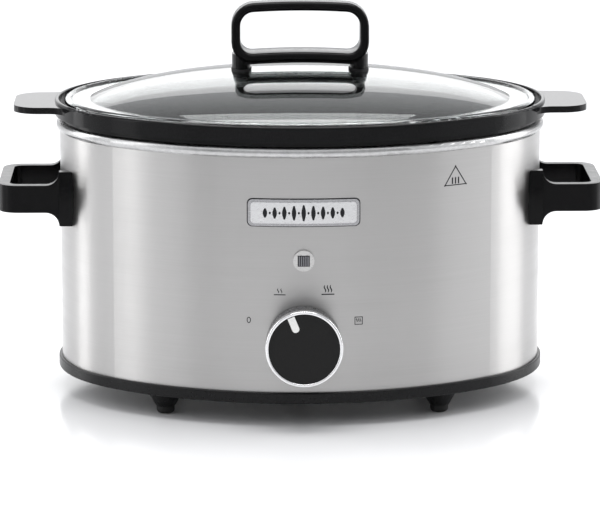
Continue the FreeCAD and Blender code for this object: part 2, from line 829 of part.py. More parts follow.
def make_lid_fixings():
    """The seal between handle and glass, and a soft washer and a screw under each post."""
    strip = block("gasket_strip", "2 * loop_half_width", "loop_depth", "6", z="dome_top - 4")
    holes = [
        cylinder(f"gasket_hole_{i}", "lid_screw_radius", "10", x, z="dome_top - 6")
        for i, x in enumerate(lid_screw_spots())
    ]
    layer = cut("gasket_layer", dome("gasket_outside", "gasket"), [dome("gasket_inside", "0")] + holes)
    node(common("gasket_common", layer, strip), "lid_gasket")
    washers, screws = [], []
    for i, x in enumerate(lid_screw_spots()):
        disc = cylinder(f"lid_washer_disc_{i}", "lid_washer_radius", "6", x, z="washer_bottom - 1")
        shaped = common(f"lid_washer_shaped_{i}", disc, dome(f"lid_washer_top_{i}", "-glass"))
        hole = cylinder(f"lid_washer_hole_{i}", "lid_screw_radius", "10", x, z="washer_bottom - 2")
        washers.append(cut(f"lid_washer_{i}", shaped, [hole]))
        head = cylinder(f"lid_screw_head_{i}", "lid_screw_head_radius", "lid_screw_head", x,
                        z="washer_bottom - 1 - lid_screw_head")
        rod = cylinder(f"lid_screw_rod_{i}", "lid_screw_radius",
                       "dome_top + gasket - washer_bottom + lid_screw_bite", x, z="washer_bottom - 1.5")
        screws.append(fuse(f"lid_screw_{i}", [head, rod]))
    node(together("lid_washer_pair", washers), "lid_washers")
    node(together("lid_screw_pair", screws), "lid_screws")


# ---------- side handles ----------

def make_side_handle(side, name):
    """A strap handle: a flat loop whose two arms flare out where they meet the shell."""
    body = new_body(f"{name}_body")
    tip = f"{side} * (shell_half_x + handle_reach)"
    root = f"{side} * (shell_half_x - 40)"
    inner = f"{side} * (shell_half_x + handle_reach - handle_bar)"
    strap = new_sketch(body, f"{name}_plan", "XY_Plane", "handle_level")
    outline(strap, [(root, "-handle_half_width"), (tip, "-handle_half_width"),
                    (tip, "handle_half_width"), (root, "handle_half_width")])
    pad(body, strap, "handle_height", symmetric=True)
    flare = new_sketch(body, f"{name}_flare", "XZ_Plane")
    outline(flare, [
        (root, "handle_level - flare_height / 2"),
        (f"{side} * (shell_half_x - 6)", "handle_level - flare_height / 2"),
        (f"{side} * (shell_half_x + flare_reach)", "handle_level - handle_height / 2"),
        (f"{side} * (shell_half_x + flare_reach)", "handle_level + handle_height / 2"),
        (f"{side} * (shell_half_x - 6)", "handle_level + flare_height / 2"),
        (root, "handle_level + flare_height / 2"),
    ])
    pad(body, flare, "2 * handle_half_width", symmetric=True)
    gap = new_sketch(body, f"{name}_gap", "XY_Plane", "handle_level")
    outline(gap, [
        (root, "-(handle_half_width - handle_arm)"), (inner, "-(handle_half_width - handle_arm)"),
        (inner, "handle_half_width - handle_arm"), (root, "handle_half_width - handle_arm"),
    ])
    pocket(body, gap, "2 * flare_height", symmetric=True)
    clear = new_sketch(body, f"{name}_shell", "XY_Plane", "handle_level")
    oval(clear, "0")
    pocket(body, clear, "2 * flare_height", symmetric=True)

    def upright(x, y):
        """The handle's vertical edges at a place, on either side of the middle."""
        return edges_where(body, lambda edge: edge.BoundBox.ZLength > value("handle_height") - 0.1
                           and abs(middle(edge).x - value(x)) < 1e-3
                           and abs(abs(middle(edge).y) - value(y)) < 1e-3)
    soften(body, f"{name}_corners", upright(tip, "handle_half_width"), "handle_round")
    soften(body, f"{name}_gap_corners", upright(inner, "handle_half_width - handle_arm"),
           "handle_round - handle_bar + 1")
    faces = [value("handle_level + handle_height / 2"), value("handle_level - handle_height / 2")]
    rims = edges_where(body, lambda edge: edge.BoundBox.ZLength < 1e-3
                       and min(abs(middle(edge).z - level) for level in faces) < 1e-3
                       and abs(middle(edge).x) > value("shell_half_x + flare_reach + 0.1"))
    soften(body, f"{name}_soft_edges", rims, "handle_edge")
    bores = [rod for rod in handle_screw_rods(f"{name}_bore", "0", "handle_screw_bite")]
    node(cut(f"{name}_cut", body, bores), name)


def make_handle_screws():
    """Screws from inside the shell, square to it, with their heads against its inner face."""
    heads = handle_screw_rods("handle_screw_head", "-shell_sheet - 0.1 - handle_screw_head",
                              "handle_screw_head", "handle_screw_head_radius")
    rods = handle_screw_rods("handle_screw_rod", "-shell_sheet - handle_screw_head / 2",
                             "shell_sheet + handle_screw_head / 2 + handle_screw_bite")
    screws = [fuse(f"handle_screw_{i}", [head, rod]) for i, (head, rod) in enumerate(zip(heads, rods))]
    node(together("handle_screw_set", screws), "handle_screws")


# ---------- control knob and rotary switch ----------

def at_front(item, turn=None):
    """Put a piece drawn round its own Z axis on the knob's axis, its Z pointing to the front."""
    return place(item, "0", "-shell_half_y", "knob_level", turn or TOWARD_FRONT)


def make_knob():
    skirt = new_body("skirt_body")
    back, front = "knob_gap", "knob_gap + knob_skirt_depth"
    turned(skirt, "skirt", [
        ("shaft_radius", back),
        ("knob_hub_radius", back),
        ("knob_hub_radius", f"{front} - knob_skirt_wall"),
        ("knob_skirt_radius - knob_skirt_wall", f"{front} - knob_skirt_wall"),
        ("knob_skirt_radius - knob_skirt_wall", back),
        ("knob_skirt_radius", back),
        ("knob_skirt_radius", front),
        ("shaft_radius", front),
    ])
    groove = new_sketch(skirt, "knurl", "XY_Plane", back)
    circle(groove, "knurl_depth", "0", "knob_skirt_radius")
    first = pocket(skirt, groove, "knob_skirt_depth - 1", backwards=True)
    ring = skirt.newObject("PartDesign::PolarPattern", "knurls")
    ring.Originals = [first]
    ring.Axis = (groove, ["N_Axis"])
    ring.Angle = 360
    bind(ring, "Occurrences", "knurl_count")
    skirt.Tip = ring
    doc.recompute()
    node(at_front(skirt), "knob_skirt")

    rim = new_body("ring_body")
    turned(rim, "ring", [
        ("knob_radius - knob_ring_wall", front), ("knob_radius", front),
        ("knob_radius", "knob_face_y"), ("knob_radius - knob_ring_wall", "knob_face_y"),
    ])
    corner = edges_where(rim, lambda edge: abs(middle(edge).z - value("knob_face_y")) < 1e-3
                         and edge.BoundBox.ZLength < 1e-3)
    soften(rim, "ring_round", corner, "knob_ring_wall / 2 - 0.2")
    node(at_front(rim), "knob_ring")

    face = new_body("face_body")
    turned(face, "face", [
        ("0", front), ("knob_radius - knob_ring_wall", front),
        ("knob_radius - knob_ring_wall", f"{front} + knob_face_depth"), ("0", f"{front} + knob_face_depth"),
    ])
    turn = FreeCAD.Rotation(FreeCAD.Vector(0, 1, 0), -value("rest_angle")) * TOWARD_FRONT
    slot = new_sketch(face, "pointer_slot", "XY_Plane", f"{front} + knob_face_depth / 2")
    rectangle(slot, "pointer_width / 2", "pointer_length / 2", "0",
              "knob_radius - knob_ring_wall - pointer_length / 2")
    pocket(face, slot, "knob_face_depth", backwards=True)
    node(at_front(face, turn), "knob_face")

    pointer = new_body("pointer_body")
    bar = new_sketch(pointer, "pointer_plan", "XY_Plane", f"{front} + knob_face_depth / 2")
    rectangle(bar, "pointer_width / 2", "pointer_length / 2 - 0.2", "0",
              "knob_radius - knob_ring_wall - pointer_length / 2 - 0.2")
    pad(pointer, bar, "knob_face_depth / 2 + pointer_raise")
    node(at_front(pointer, turn), "knob_pointer")


def make_switch():
    """A rotary switch on an upright bracket: box, cam, shaft, threaded bushing and nut."""
    bracket = new_body("bracket_body")
    upright = new_sketch(bracket, "bracket_face", "XZ_Plane", "switch_front")
    rectangle(upright, "bracket_half_width", "bracket_height / 2", "0", "floor_top + bracket_height / 2")
    pad(bracket, upright, "bracket_sheet")
    foot = new_sketch(bracket, "bracket_foot_plan", "XY_Plane", "floor_top")
    rectangle(foot, "bracket_half_width", "bracket_foot / 2", "0", "-(switch_front - bracket_foot / 2)")
    pad(bracket, foot, "bracket_sheet")
    through = cylinder("bracket_hole", "bushing_radius", "20", "0", "-bracket_y - 5", "knob_level", ALONG_Y)
    feet = [f"{side} * (bracket_half_width - 7)" for side in (-1, 1)]
    holes = [
        cylinder(f"bracket_screw_hole_{i}", "handle_screw_radius", "4", x,
                 "-(switch_front - bracket_foot / 2)", "floor_top - 1")
        for i, x in enumerate(feet)
    ]
    node(cut("bracket_cut", bracket, [through] + holes), "switch_bracket")

    screws = []
    for i, x in enumerate(feet):
        spot = {"x": x, "y": "-(switch_front - bracket_foot / 2)"}
        head = cylinder(f"bracket_screw_head_{i}", "handle_screw_head_radius", "handle_screw_head",
                        z="floor_top + bracket_sheet", **spot)
        rod = cylinder(f"bracket_screw_rod_{i}", "handle_screw_radius", "bracket_sheet + 1",
                       z="floor_top", **spot)
        screws.append(fuse(f"bracket_screw_{i}", [head, rod]))
    node(together("bracket_screw_pair", screws), "bracket_screws")

    box = block("switch_box", "2 * switch_half_width", "switch_depth", "2 * switch_half_width",
                y="-(switch_front - switch_depth / 2)", z="knob_level - switch_half_width")
    chamber = cylinder("switch_chamber", "cam_radius + 0.5", "cam_depth + 2 * fit_gap", "0",
                       "-(switch_front - switch_wall)", "knob_level", ALONG_Y)
    bushing = cylinder("switch_bushing", "bushing_radius", "bracket_setback + bracket_sheet - 0.5", "0",
                       "-switch_front", "knob_level", TOWARD_FRONT)
    bore = cylinder("switch_bore", "shaft_radius + shaft_play", "30", "0",
                    "-(shell_half_y + 5)", "knob_level", ALONG_Y)
    stop = block("switch_bore_stop", "20", "8", "20", y="-(switch_front - switch_depth + 4)",
                 z="knob_level - 10")
    bore_short = cut("switch_bore_short", bore, [stop])
    node(cut("switch_cut", fuse("switch_fuse", [box, bushing]), [chamber, bore_short]), "switch_body")

    cam = new_body("cam_body")
    turned(cam, "cam", [("shaft_radius", "0"), ("cam_radius", "0"),
                        ("cam_radius", "cam_depth"), ("shaft_radius", "cam_depth")])
    notch = new_sketch(cam, "cam_notch", "XY_Plane")
    circle(notch, "1.6", "0", "cam_radius")
    first = pocket(cam, notch, "cam_depth", backwards=True)
    ring = cam.newObject("PartDesign::PolarPattern", "cam_notches")
    ring.Originals = [first]
    ring.Axis = (notch, ["N_Axis"])
    ring.Angle = 360
    ring.Occurrences = 8
    cam.Tip = ring
    doc.recompute()
    back = "-(switch_front - switch_wall - fit_gap - cam_depth)"
    node(place(cam, "0", back, "knob_level", TOWARD_FRONT), "switch_cam")

    shaft_back = "-(switch_front - switch_wall - 2 * fit_gap - cam_depth)"
    reach = f"shell_half_y + knob_gap + knob_skirt_depth + ({shaft_back})"
    shaft = cylinder("shaft_rod", "shaft_radius", reach, "0", shaft_back, "knob_level", TOWARD_FRONT)
    node(shaft, "switch_shaft")

    nut = new_body("switch_nut_body")
    plan = new_sketch(nut, "switch_nut_plan", "XY_Plane")
    hexagon(plan, "nut_radius")
    pad(nut, plan, "nut_height")
    hole = new_sketch(nut, "switch_nut_hole", "XY_Plane")
    circle(hole, "bushing_radius")
    pocket(nut, hole, "nut_height", backwards=True)
    node(place(nut, "0", "-bracket_y", "knob_level", TOWARD_FRONT), "switch_nut")


def hexagon(sketch, radius):
    """A regular hexagon whose corners are a radius from the sketch's origin."""
    outline(sketch, [
        (f"({radius}) * cos({60 * i + 30})", f"({radius}) * sin({60 * i + 30})") for i in range(6)
    ])


# ---------- indicator lamp ----------

def make_indicator():
    bezel = new_body("bezel_body")
    turned(bezel, "bezel", [
        ("0", "-lamp_barrel_depth"), ("lamp_barrel_radius", "-lamp_barrel_depth"),
        ("lamp_barrel_radius", "0"), ("lamp_ring_radius", "0"),
        ("lamp_ring_radius", "lamp_ring_proud"), ("0", "lamp_ring_proud"),
    ])
    window = new_sketch(bezel, "bezel_window", "XY_Plane", "lamp_ring_proud")
    rectangle(window, "lens_width / 2", "lens_height / 2")
    pocket(bezel, window, "lamp_ring_proud + 1")
    well = new_sketch(bezel, "bezel_bore", "XY_Plane", "-1")
    circle(well, "lamp_radius + fit_gap")
    pocket(bezel, well, "lamp_barrel_depth")
    node(place(bezel, "0", "-shell_half_y", "lamp_level", TOWARD_FRONT), "indicator_bezel")

    lens = new_body("lens_body")
    plan = new_sketch(lens, "lens_plan", "XY_Plane", "-1")
    rectangle(plan, "lens_width / 2", "lens_height / 2")
    pad(lens, plan, "lamp_ring_proud + 1 + lens_proud")
    front = value("lamp_ring_proud + lens_proud")
    soften(lens, "lens_edge", edges_where(
        lens, lambda edge: edge.BoundBox.ZLength < 1e-3 and abs(middle(edge).z - front) < 1e-3), "0.4")
    node(place(lens, "0", "-shell_half_y", "lamp_level", TOWARD_FRONT), "indicator_lens")

    lamp = cylinder("lamp_tube", "lamp_radius", "lamp_length", "0", "-(shell_half_y - 1.2)", "lamp_level",
                    ALONG_Y)
    node(lamp, "neon_lamp")

    nut = new_body("lamp_clip_body")
    turned(nut, "lamp_clip", [
        ("lamp_barrel_radius", "0"), ("lamp_ring_radius + 1.5", "0"),
        ("lamp_ring_radius + 1.5", "nut_height"), ("lamp_barrel_radius", "nut_height"),
    ])
    node(place(nut, "0", "-(shell_half_y - shell_sheet - fit_gap)", "lamp_level", ALONG_Y), "lamp_clip")


# ---------- badge ----------

def badge_slab(name, out, trim):
    """A strip that follows the shell's front, cut to the badge's outline less a trim."""
    ring = new_body(f"{name}_ring")
    plan = new_sketch(ring, f"{name}_plan", "XY_Plane", "badge_level - badge_half_height - 1")
    oval(plan, out)
    oval(plan, "0")
    pad(ring, plan, "2 * badge_half_height + 2")
    window = new_body(f"{name}_window")
    face = new_sketch(window, f"{name}_face", "XZ_Plane", "shell_half_y - 10")
    rectangle(face, f"badge_half_width - ({trim})", f"badge_half_height - ({trim})", "0", "badge_level")
    pad(window, face, "20")
    half = value(f"badge_half_width - ({trim})")
    soften(window, f"{name}_corners", edges_where(
        window, lambda edge: edge.BoundBox.YLength > 19 and abs(abs(middle(edge).x) - half) < 1e-3),
        f"3 - ({trim}) / 2")
    return common(name, ring, window)


def make_badge():
    frame = cut("badge_frame_cut", badge_slab("badge_border_slab", "badge_proud - 0.4", "0"),
                [badge_slab("badge_inner_slab", "badge_proud + 1", "badge_border")])
    node(frame, "badge_frame")
    pins, nuts = [], []
    for i, side in enumerate((-1, 1)):
        spot = {"x": f"{side} * badge_pin_place", "z": "badge_level"}
        bow = "(side_radius - sqrt(side_radius^2 - badge_pin_place^2))"
        pins.append(cylinder(f"badge_pin_{i}", "badge_pin_radius", f"badge_pin_length + badge_proud / 2",
                             y=f"-(shell_half_y - {bow} + badge_proud / 2)", turn=ALONG_Y, **spot))
        nut = new_body(f"push_nut_{i}")
        turned(nut, f"push_nut_{i}", [
            ("badge_pin_radius", "0"), ("push_nut_radius", "0"),
            ("push_nut_radius", "push_nut_sheet"), ("badge_pin_radius", "push_nut_sheet"),
        ])
        nuts.append(place(nut, y=f"-(shell_half_y - {bow} - shell_sheet - 0.9)", turn=ALONG_Y, **spot))
    plate = badge_slab("badge_plate_slab", "badge_proud", "badge_border")
    node(fuse("badge_plate_fuse", [plate] + pins), "badge_plate")
    node(together("push_nut_pair", nuts), "badge_push_nuts")


# ---------- heaters ----------

def wall_strip(body, name, low, high, gap, sheet):
    """A band of a given thickness that hugs the well's sloping wall between two heights."""
    section = new_sketch(body, f"{name}_section", "XZ_Plane")
    near_low, near_high = f"-{well_inset(low)} + {gap}", f"-{well_inset(high)} + {gap}"
    outline(section, [
        (at_out(near_low), low), (at_out(f"{near_low} + {sheet}"), low),
        (at_out(f"{near_high} + {sheet}"), high), (at_out(near_high), high),
    ])
    sweep_round(body, name, section)


def make_heaters():
    for name, level in (("low", "heater_low_level"), ("high", "heater_high_level")):
        band = new_body(f"heater_{name}_body")
        wall_strip(band, f"heater_{name}", level, f"{level} + heater_height", "heater_gap",
                   "heater_thickness")
        node(band, f"heater_band_{name}")
    straps = []
    for name, level in (("low", "heater_low_level"), ("high", "heater_high_level")):
        strap = new_body(f"strap_{name}_body")
        low = f"{level} + (heater_height - strap_height) / 2"
        wall_strip(strap, f"strap_{name}", low, f"{low} + strap_height",
                   "heater_gap + heater_thickness", "strap_sheet")
        straps.append(strap)
    node(together("strap_pair", straps), "heater_straps")


# ---------- centre fixing ----------

def make_centre_fixing():
    stud = cylinder("stud_rod", "stud_radius", "well_floor - stud_bottom", z="stud_bottom")
    neck = cylinder("stud_neck", "stud_radius - 1", "well_sheet", z="well_floor")
    node(fuse("stud_fuse", [stud, neck]), "centre_stud")

    def collar(name, radius, low, high):
        ring = new_body(f"{name}_body")
        turned(ring, name, [("stud_radius", low), (radius, low), (radius, high), ("stud_radius", high)])
        return ring
    spacer_top = "shield_level - earth_ring_sheet"
    node(collar("spacer", "spacer_radius", "floor_top", spacer_top), "stud_spacer")
    node(collar("washer", "stud_washer_radius", "base_bottom - stud_washer_sheet", "base_bottom"),
         "stud_washer")
    nuts = []
    for name, low in (("upper", "shield_level + shield_sheet"),
                      ("lower", "base_bottom - stud_washer_sheet - stud_nut_height")):
        nut = new_body(f"stud_nut_{name}")
        plan = new_sketch(nut, f"stud_nut_{name}_plan", "XY_Plane", low)
        hexagon(plan, "stud_nut_radius")
        circle(plan, "stud_radius")
        pad(nut, plan, "stud_nut_height")
        nuts.append(nut)
    node(together("stud_nut_pair", nuts), "stud_nuts")

    shield = new_body("shield_body")
    plan = new_sketch(shield, "shield_plan", "XY_Plane", "shield_level")
    oval(plan, "-shield_inset")
    circle(plan, "stud_radius")
    pad(shield, plan, "shield_sheet")
    node(shield, "heat_shield")

    tag = new_body("earth_tag_body")
    plan = new_sketch(tag, "earth_tag_plan", "XY_Plane", spacer_top)
    circle(plan, "spacer_radius")
    pad(tag, plan, "earth_ring_sheet")
    tongue = new_sketch(tag, "earth_tag_tongue", "XY_Plane", spacer_top)
    rectangle(tongue, "wire_radius + 1", "6", "0", "spacer_radius + 4")
    pad(tag, tongue, "earth_ring_sheet")
    hole = new_sketch(tag, "earth_tag_hole", "XY_Plane", spacer_top)
    circle(hole, "stud_radius")
    pocket(tag, hole, "earth_ring_sheet", backwards=True)
    node(tag, "earth_tag")


# ---------- wiring ----------

def wire(name, points, radius="wire_radius"):
    """A round insulated wire through hand-picked points, in a smooth curve."""
    spots = [FreeCAD.Vector(*(value(c) for c in point)) for point in points]
    curve = Part.BSplineCurve()
    curve.interpolate(spots)
    path = Part.Wire([curve.toShape()])
    start = curve.tangent(curve.FirstParameter)[0]
    ring = Part.Wire([Part.makeCircle(value(radius), spots[0], start)])
    made = doc.addObject("Part::Feature", name)
    made.Shape = path.makePipeShell([ring], True, True)
    return made


def make_wiring():
    gland = new_body("gland_body")
    turned(gland, "gland", [
        ("gland_bore", "-gland_tail"), ("gland_radius", "-gland_tail"), ("gland_radius", "0"),
        ("gland_flange_radius", "0"), ("gland_flange_radius", "gland_flange"),
        ("gland_radius + 0.6", "gland_flange + 0.8"), ("gland_bore + 1.4", "gland_nose"),
        ("gland_bore", "gland_nose"),
    ])
    node(place(gland, "0", "shell_half_y", "gland_level", ALONG_Y), "cord_gland")

    nut = new_body("gland_nut_body")
    plan = new_sketch(nut, "gland_nut_plan", "XY_Plane")
    hexagon(plan, "gland_nut_radius")
    circle(plan, "gland_radius")
    pad(nut, plan, "gland_nut")
    node(place(nut, "0", "shell_half_y - shell_sheet - fit_gap", "gland_level", TOWARD_FRONT), "gland_nut")

    body = block("block_body", "block_length", "block_width", "block_height", "block_x", "block_y",
                 "floor_top")
    lanes = [f"block_x + {lane} * block_length / 3" for lane in (-1, 0, 1)]
    wells = [
        cylinder(f"block_screw_hole_{i}", "block_screw_radius", "6", x, "block_y",
                 "floor_top + block_height - 5")
        for i, x in enumerate(lanes)
    ]
    node(cut("block_cut", body, wells), "terminal_block")
    screws = [
        cylinder(f"block_screw_{i}", "block_screw_radius", "4", x, "block_y",
                 "floor_top + block_height - 5")
        for i, x in enumerate(lanes)
    ]
    node(together("block_screw_set", screws), "terminal_screws")

    fuse_level = "well_floor - fuse_radius - fuse_clip_wall"
    rod = cylinder("fuse_rod", "fuse_radius", "fuse_length", "fuse_x - fuse_length / 2", "fuse_y",
                   fuse_level, ALONG_X)
    node(rod, "thermal_fuse")
    saddle = block("clip_block", "fuse_length * 0.5", "2 * (fuse_radius + fuse_clip_wall)",
                   "2 * (fuse_radius + fuse_clip_wall)", "fuse_x", "fuse_y",
                   "well_floor - 2 * (fuse_radius + fuse_clip_wall)")
    bore = cylinder("clip_bore", "fuse_radius", "fuse_length", "fuse_x - fuse_length / 2", "fuse_y",
                    fuse_level, ALONG_X)
    node(cut("clip_cut", saddle, [bore]), "fuse_clip")

    rear, front = "block_y + block_width / 2", "block_y - block_width / 2"
    lane_level = "floor_top + block_height / 2"
    gland_end = "shell_half_y - gland_tail - fit_gap"
    cord_cores = {"live": ("-1.6", "-1"), "neutral": ("1.6", "5")}
    for i, (name, (x, lift)) in enumerate(cord_cores.items()):
        lane = f"block_x + {i} * block_length / 3"
        node(wire(f"{name}_wire", [
            (x, gland_end, "gland_level + 0.9"), (x, f"{gland_end} - 9", "gland_level + 0.9"),
            (f"({x} + {lane}) / 2", f"({gland_end} + {rear}) / 2 - 3",
             f"({lane_level} + gland_level) / 2 + ({lift})"),
            (lane, f"{rear} + 8", lane_level), (lane, f"{rear} + wire_gap", lane_level),
        ]), f"wire_{name}")
    node(wire("earth_run", [
        ("0", gland_end, "gland_level - 1.9"), ("-1", f"{gland_end} - 13", "gland_level - 3"),
        ("-6", "60", "floor_top + 8"), ("-3", "26", "floor_top + 12"),
        ("0", "spacer_radius + 8", "shield_level - earth_ring_sheet - wire_radius - wire_gap"),
        ("0", "spacer_radius + 1", "shield_level - earth_ring_sheet - wire_radius - wire_gap"),
    ]), "wire_earth")
    switch_back = "-(switch_front - switch_depth)"
    node(wire("switch_run", [
        ("block_x", f"{front} - wire_gap", lane_level), ("block_x", f"{front} - 10", lane_level),
        ("20", "10", "floor_top + 5"), ("14", "-50", "floor_top + 6"),
        ("8", f"{switch_back} + 16", "knob_level - 14"), ("8", f"{switch_back} + wire_gap", "knob_level - 11"),
    ]), "wire_switch")
    stand_off = "heater_gap + heater_thickness + wire_radius + wire_gap"
    run_x = "(switch_half_width + 12)"
    for side, name, level in ((1, "low", "heater_low_level + 3"), (-1, "high", "heater_high_level + 3")):
        wall_radius = f"(side_radius - {well_inset(level)} + {stand_off})"
        wall = f"-(sqrt({wall_radius}^2 - {run_x}^2) - side_radius + shell_half_y)"
        node(wire(f"heater_run_{name}", [
            (f"{side} * (switch_half_width + wire_gap)", "-(switch_front - switch_depth / 2)",
             "knob_level + 6"),
            (f"{side} * (switch_half_width + 8)", "-(switch_front - switch_depth / 2)", "knob_level + 7"),
            (f"{side} * {run_x}", f"{wall} - 0.8", f"{level} - 8"), (f"{side} * {run_x}", wall, level),
        ]), f"wire_heater_{name}")


# ---------- whole model ----------

def check_model():
    """Stop if any object of the document failed or any node is not a sound solid."""
    for item in doc.Objects:
        assert not {"Invalid", "Error"} & set(item.State), f"{item.Label} is {item.State}"
    for item in NODES:
        shape = item.Shape
        assert not shape.isNull() and shape.isValid(), f"{item.Label} has a bad shape"
        assert shape.Solids and all(solid.Volume > 0 for solid in shape.Solids), f"{item.Label} is empty"


make_base()
make_feet()
make_shell()
make_well()
make_crock()
make_lid_glass()
make_lid_handle()
make_lid_fixings()
make_side_handle(-1, "side_handle_left")
make_side_handle(1, "side_handle_right")
make_handle_screws()
make_knob()
make_switch()
make_indicator()
make_badge()
make_heaters()
make_centre_fixing()
make_wiring()
doc.recompute()
check_model()
for item in NODES:
    item.Shape.exportStep(f"parts/{item.Label}.step")
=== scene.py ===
"""Looks of an oval slow cooker: brushed steel housing, black stoneware crock, clear domed lid."""

import math

import bmesh
import bpy
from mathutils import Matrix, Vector


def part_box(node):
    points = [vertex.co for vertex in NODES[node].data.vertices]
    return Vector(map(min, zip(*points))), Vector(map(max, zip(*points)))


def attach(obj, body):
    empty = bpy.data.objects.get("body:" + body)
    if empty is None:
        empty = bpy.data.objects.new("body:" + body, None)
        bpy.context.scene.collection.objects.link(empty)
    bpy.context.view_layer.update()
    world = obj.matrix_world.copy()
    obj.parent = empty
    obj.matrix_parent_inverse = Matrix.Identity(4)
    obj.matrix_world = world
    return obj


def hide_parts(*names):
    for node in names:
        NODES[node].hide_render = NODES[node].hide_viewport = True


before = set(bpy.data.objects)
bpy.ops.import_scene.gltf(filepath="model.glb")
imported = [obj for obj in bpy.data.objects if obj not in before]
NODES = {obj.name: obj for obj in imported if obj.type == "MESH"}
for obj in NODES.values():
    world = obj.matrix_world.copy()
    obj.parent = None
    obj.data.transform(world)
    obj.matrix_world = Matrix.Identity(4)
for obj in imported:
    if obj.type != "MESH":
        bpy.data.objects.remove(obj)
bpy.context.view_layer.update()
MM = 0.001
QUARTER = math.pi / 2  # a quarter turn, in radians
FACING_FRONT = (QUARTER, 0, 0)


# ---------- camera ----------

CAMERA_PLACE = (-46.2 * MM, -2450.4 * MM, 572.4 * MM)
CAMERA_PITCH = 0.1999  # radians below the horizon
CAMERA_TURN = -0.01885  # radians about Z, towards the middle of the cooker
LENS = 238.09  # mm, on a 36 mm wide sensor


def make_camera():
    bpy.ops.object.camera_add(location=CAMERA_PLACE,
                              rotation=(math.pi / 2 - CAMERA_PITCH, 0, CAMERA_TURN))
    camera = bpy.context.object
    camera.name = "studio_camera"
    camera.data.lens = LENS
    camera.data.sensor_width = 36
    camera.data.clip_start = 0.1
    camera.data.clip_end = 60
    bpy.context.scene.camera = camera


# ---------- material tools ----------

def linear(code):
    """A linear RGBA colour from an sRGB hex code."""
    parts = [int(code[i:i + 2], 16) / 255 for i in (1, 3, 5)]
    return [c / 12.92 if c <= 0.04045 else ((c + 0.055) / 1.055) ** 2.4 for c in parts] + [1]


def add(tree, kind, sockets=None, **settings):
    """Add a node: settings are its own properties, sockets its inputs, each a value or an output."""
    node = tree.nodes.new(kind)
    for name, value in settings.items():
        setattr(node, name, value)
    for name, value in (sockets or {}).items():
        if isinstance(value, bpy.types.NodeSocket):
            tree.links.new(value, node.inputs[name])
        else:
            node.inputs[name].default_value = value
    return node


def new_finish(name):
    """An empty material: its node tree and the piece's own coordinates, in metres."""
    material = bpy.data.materials.new(name)
    material.use_nodes = True
    tree = material.node_tree
    tree.nodes.clear()
    place = add(tree, "ShaderNodeTexCoord").outputs["Object"]
    return material, tree, place


def close(material, tree, sockets):
    """End a material in one Principled shader with these inputs."""
    shader = add(tree, "ShaderNodeBsdfPrincipled", sockets)
    add(tree, "ShaderNodeOutputMaterial", {"Surface": shader.outputs[0]})
    return material


def grain(tree, place, size, detail=3.0, roughness=0.55):
    """Noise whose blobs are this many millimetres along X, Y and Z."""
    stretched = add(tree, "ShaderNodeMapping", {
        "Vector": place, "Scale": [1 / (mm * MM) for mm in size]})
    return add(tree, "ShaderNodeTexNoise", {
        "Vector": stretched.outputs[0], "Scale": 1.0, "Detail": detail, "Roughness": roughness,
    }).outputs["Fac"]


def spread(tree, fac, low, high):
    """Noise, which keeps near a half, spread to run between two numbers."""
    return add(tree, "ShaderNodeMapRange", {
        "Value": fac, "From Min": 0.3, "From Max": 0.7, "To Min": low, "To Max": high}).outputs[0]


def tint(tree, fac, dark, light):
    """A colour between two hex codes, by a noise."""
    colour_a, colour_b, colour_out = 6, 7, 2  # the colour sockets of a Mix node
    return add(tree, "ShaderNodeMix", {
        "Factor": spread(tree, fac, 0.0, 1.0), colour_a: linear(dark), colour_b: linear(light),
    }, data_type="RGBA").outputs[colour_out]


def relief(tree, height, depth, strength=1.0, under=None):
    """Bumps of this depth in millimetres, laid on other bumps if there are any."""
    sockets = {"Height": height, "Distance": depth * MM, "Strength": strength}
    if under is not None:
        sockets["Normal"] = under
    return add(tree, "ShaderNodeBump", sockets).outputs[0]


def vector_math(tree, operation, first, second=(0, 0, 0)):
    """One vector operation on a vector and another one."""
    return add(tree, "ShaderNodeVectorMath", {0: first, 1: second}, operation=operation).outputs[0]


# ---------- finishes ----------

def brushed_stainless():
    """Stainless sheet brushed round the wall: level hairlines, and lights drawn out up and down."""
    material, tree, place = new_finish("brushed_stainless_sheet")
    # real brush lines are 0.1 mm apart; these are 0.5 mm, as fine as the render can show
    lines = grain(tree, place, (60, 60, 0.5), detail=2)
    bands = grain(tree, place, (120, 120, 6), detail=2)
    round_wall = add(tree, "ShaderNodeTangent", direction_type="RADIAL", axis="Z").outputs[0]
    return close(material, tree, {
        "Base Color": tint(tree, lines, "#b3b2b1", "#b6b5b4"),
        "Metallic": 1.0,
        "Roughness": spread(tree, bands, 0.30, 0.36),
        "Anisotropic": 0.75,
        "Anisotropic Rotation": 0.25,
        "Tangent": round_wall,
        "Normal": relief(tree, lines, 0.002, 0.4),
    })


def rolled_rim():
    """The well's sheet, drawn and rolled over at the rim: smoother than the wall, with faint draw marks."""
    material, tree, place = new_finish("drawn_aluminised_steel")
    draw = grain(tree, place, (30, 30, 1.2))
    spangle = grain(tree, place, (3, 3, 3))
    return close(material, tree, {
        "Base Color": tint(tree, spangle, "#b4b4b4", "#c4c4c4"),
        "Metallic": 1.0,
        "Roughness": spread(tree, draw, 0.24, 0.34),
        "Normal": relief(tree, draw, 0.01, 0.4),
    })


def glazed_stoneware():
    """Fired black glaze over stoneware: deep gloss with the soft waviness of a poured glaze."""
    material, tree, place = new_finish("black_glazed_stoneware")
    flow = grain(tree, place, (14, 14, 9), detail=1)
    specks = grain(tree, place, (0.8, 0.8, 0.8))
    return close(material, tree, {
        "Base Color": tint(tree, specks, "#0d0d0e", "#171718"),
        "Roughness": spread(tree, specks, 0.07, 0.14),
        "IOR": 1.5,
        "Specular IOR Level": 0.12,
        "Normal": relief(tree, flow, 0.05, 0.2),
    })


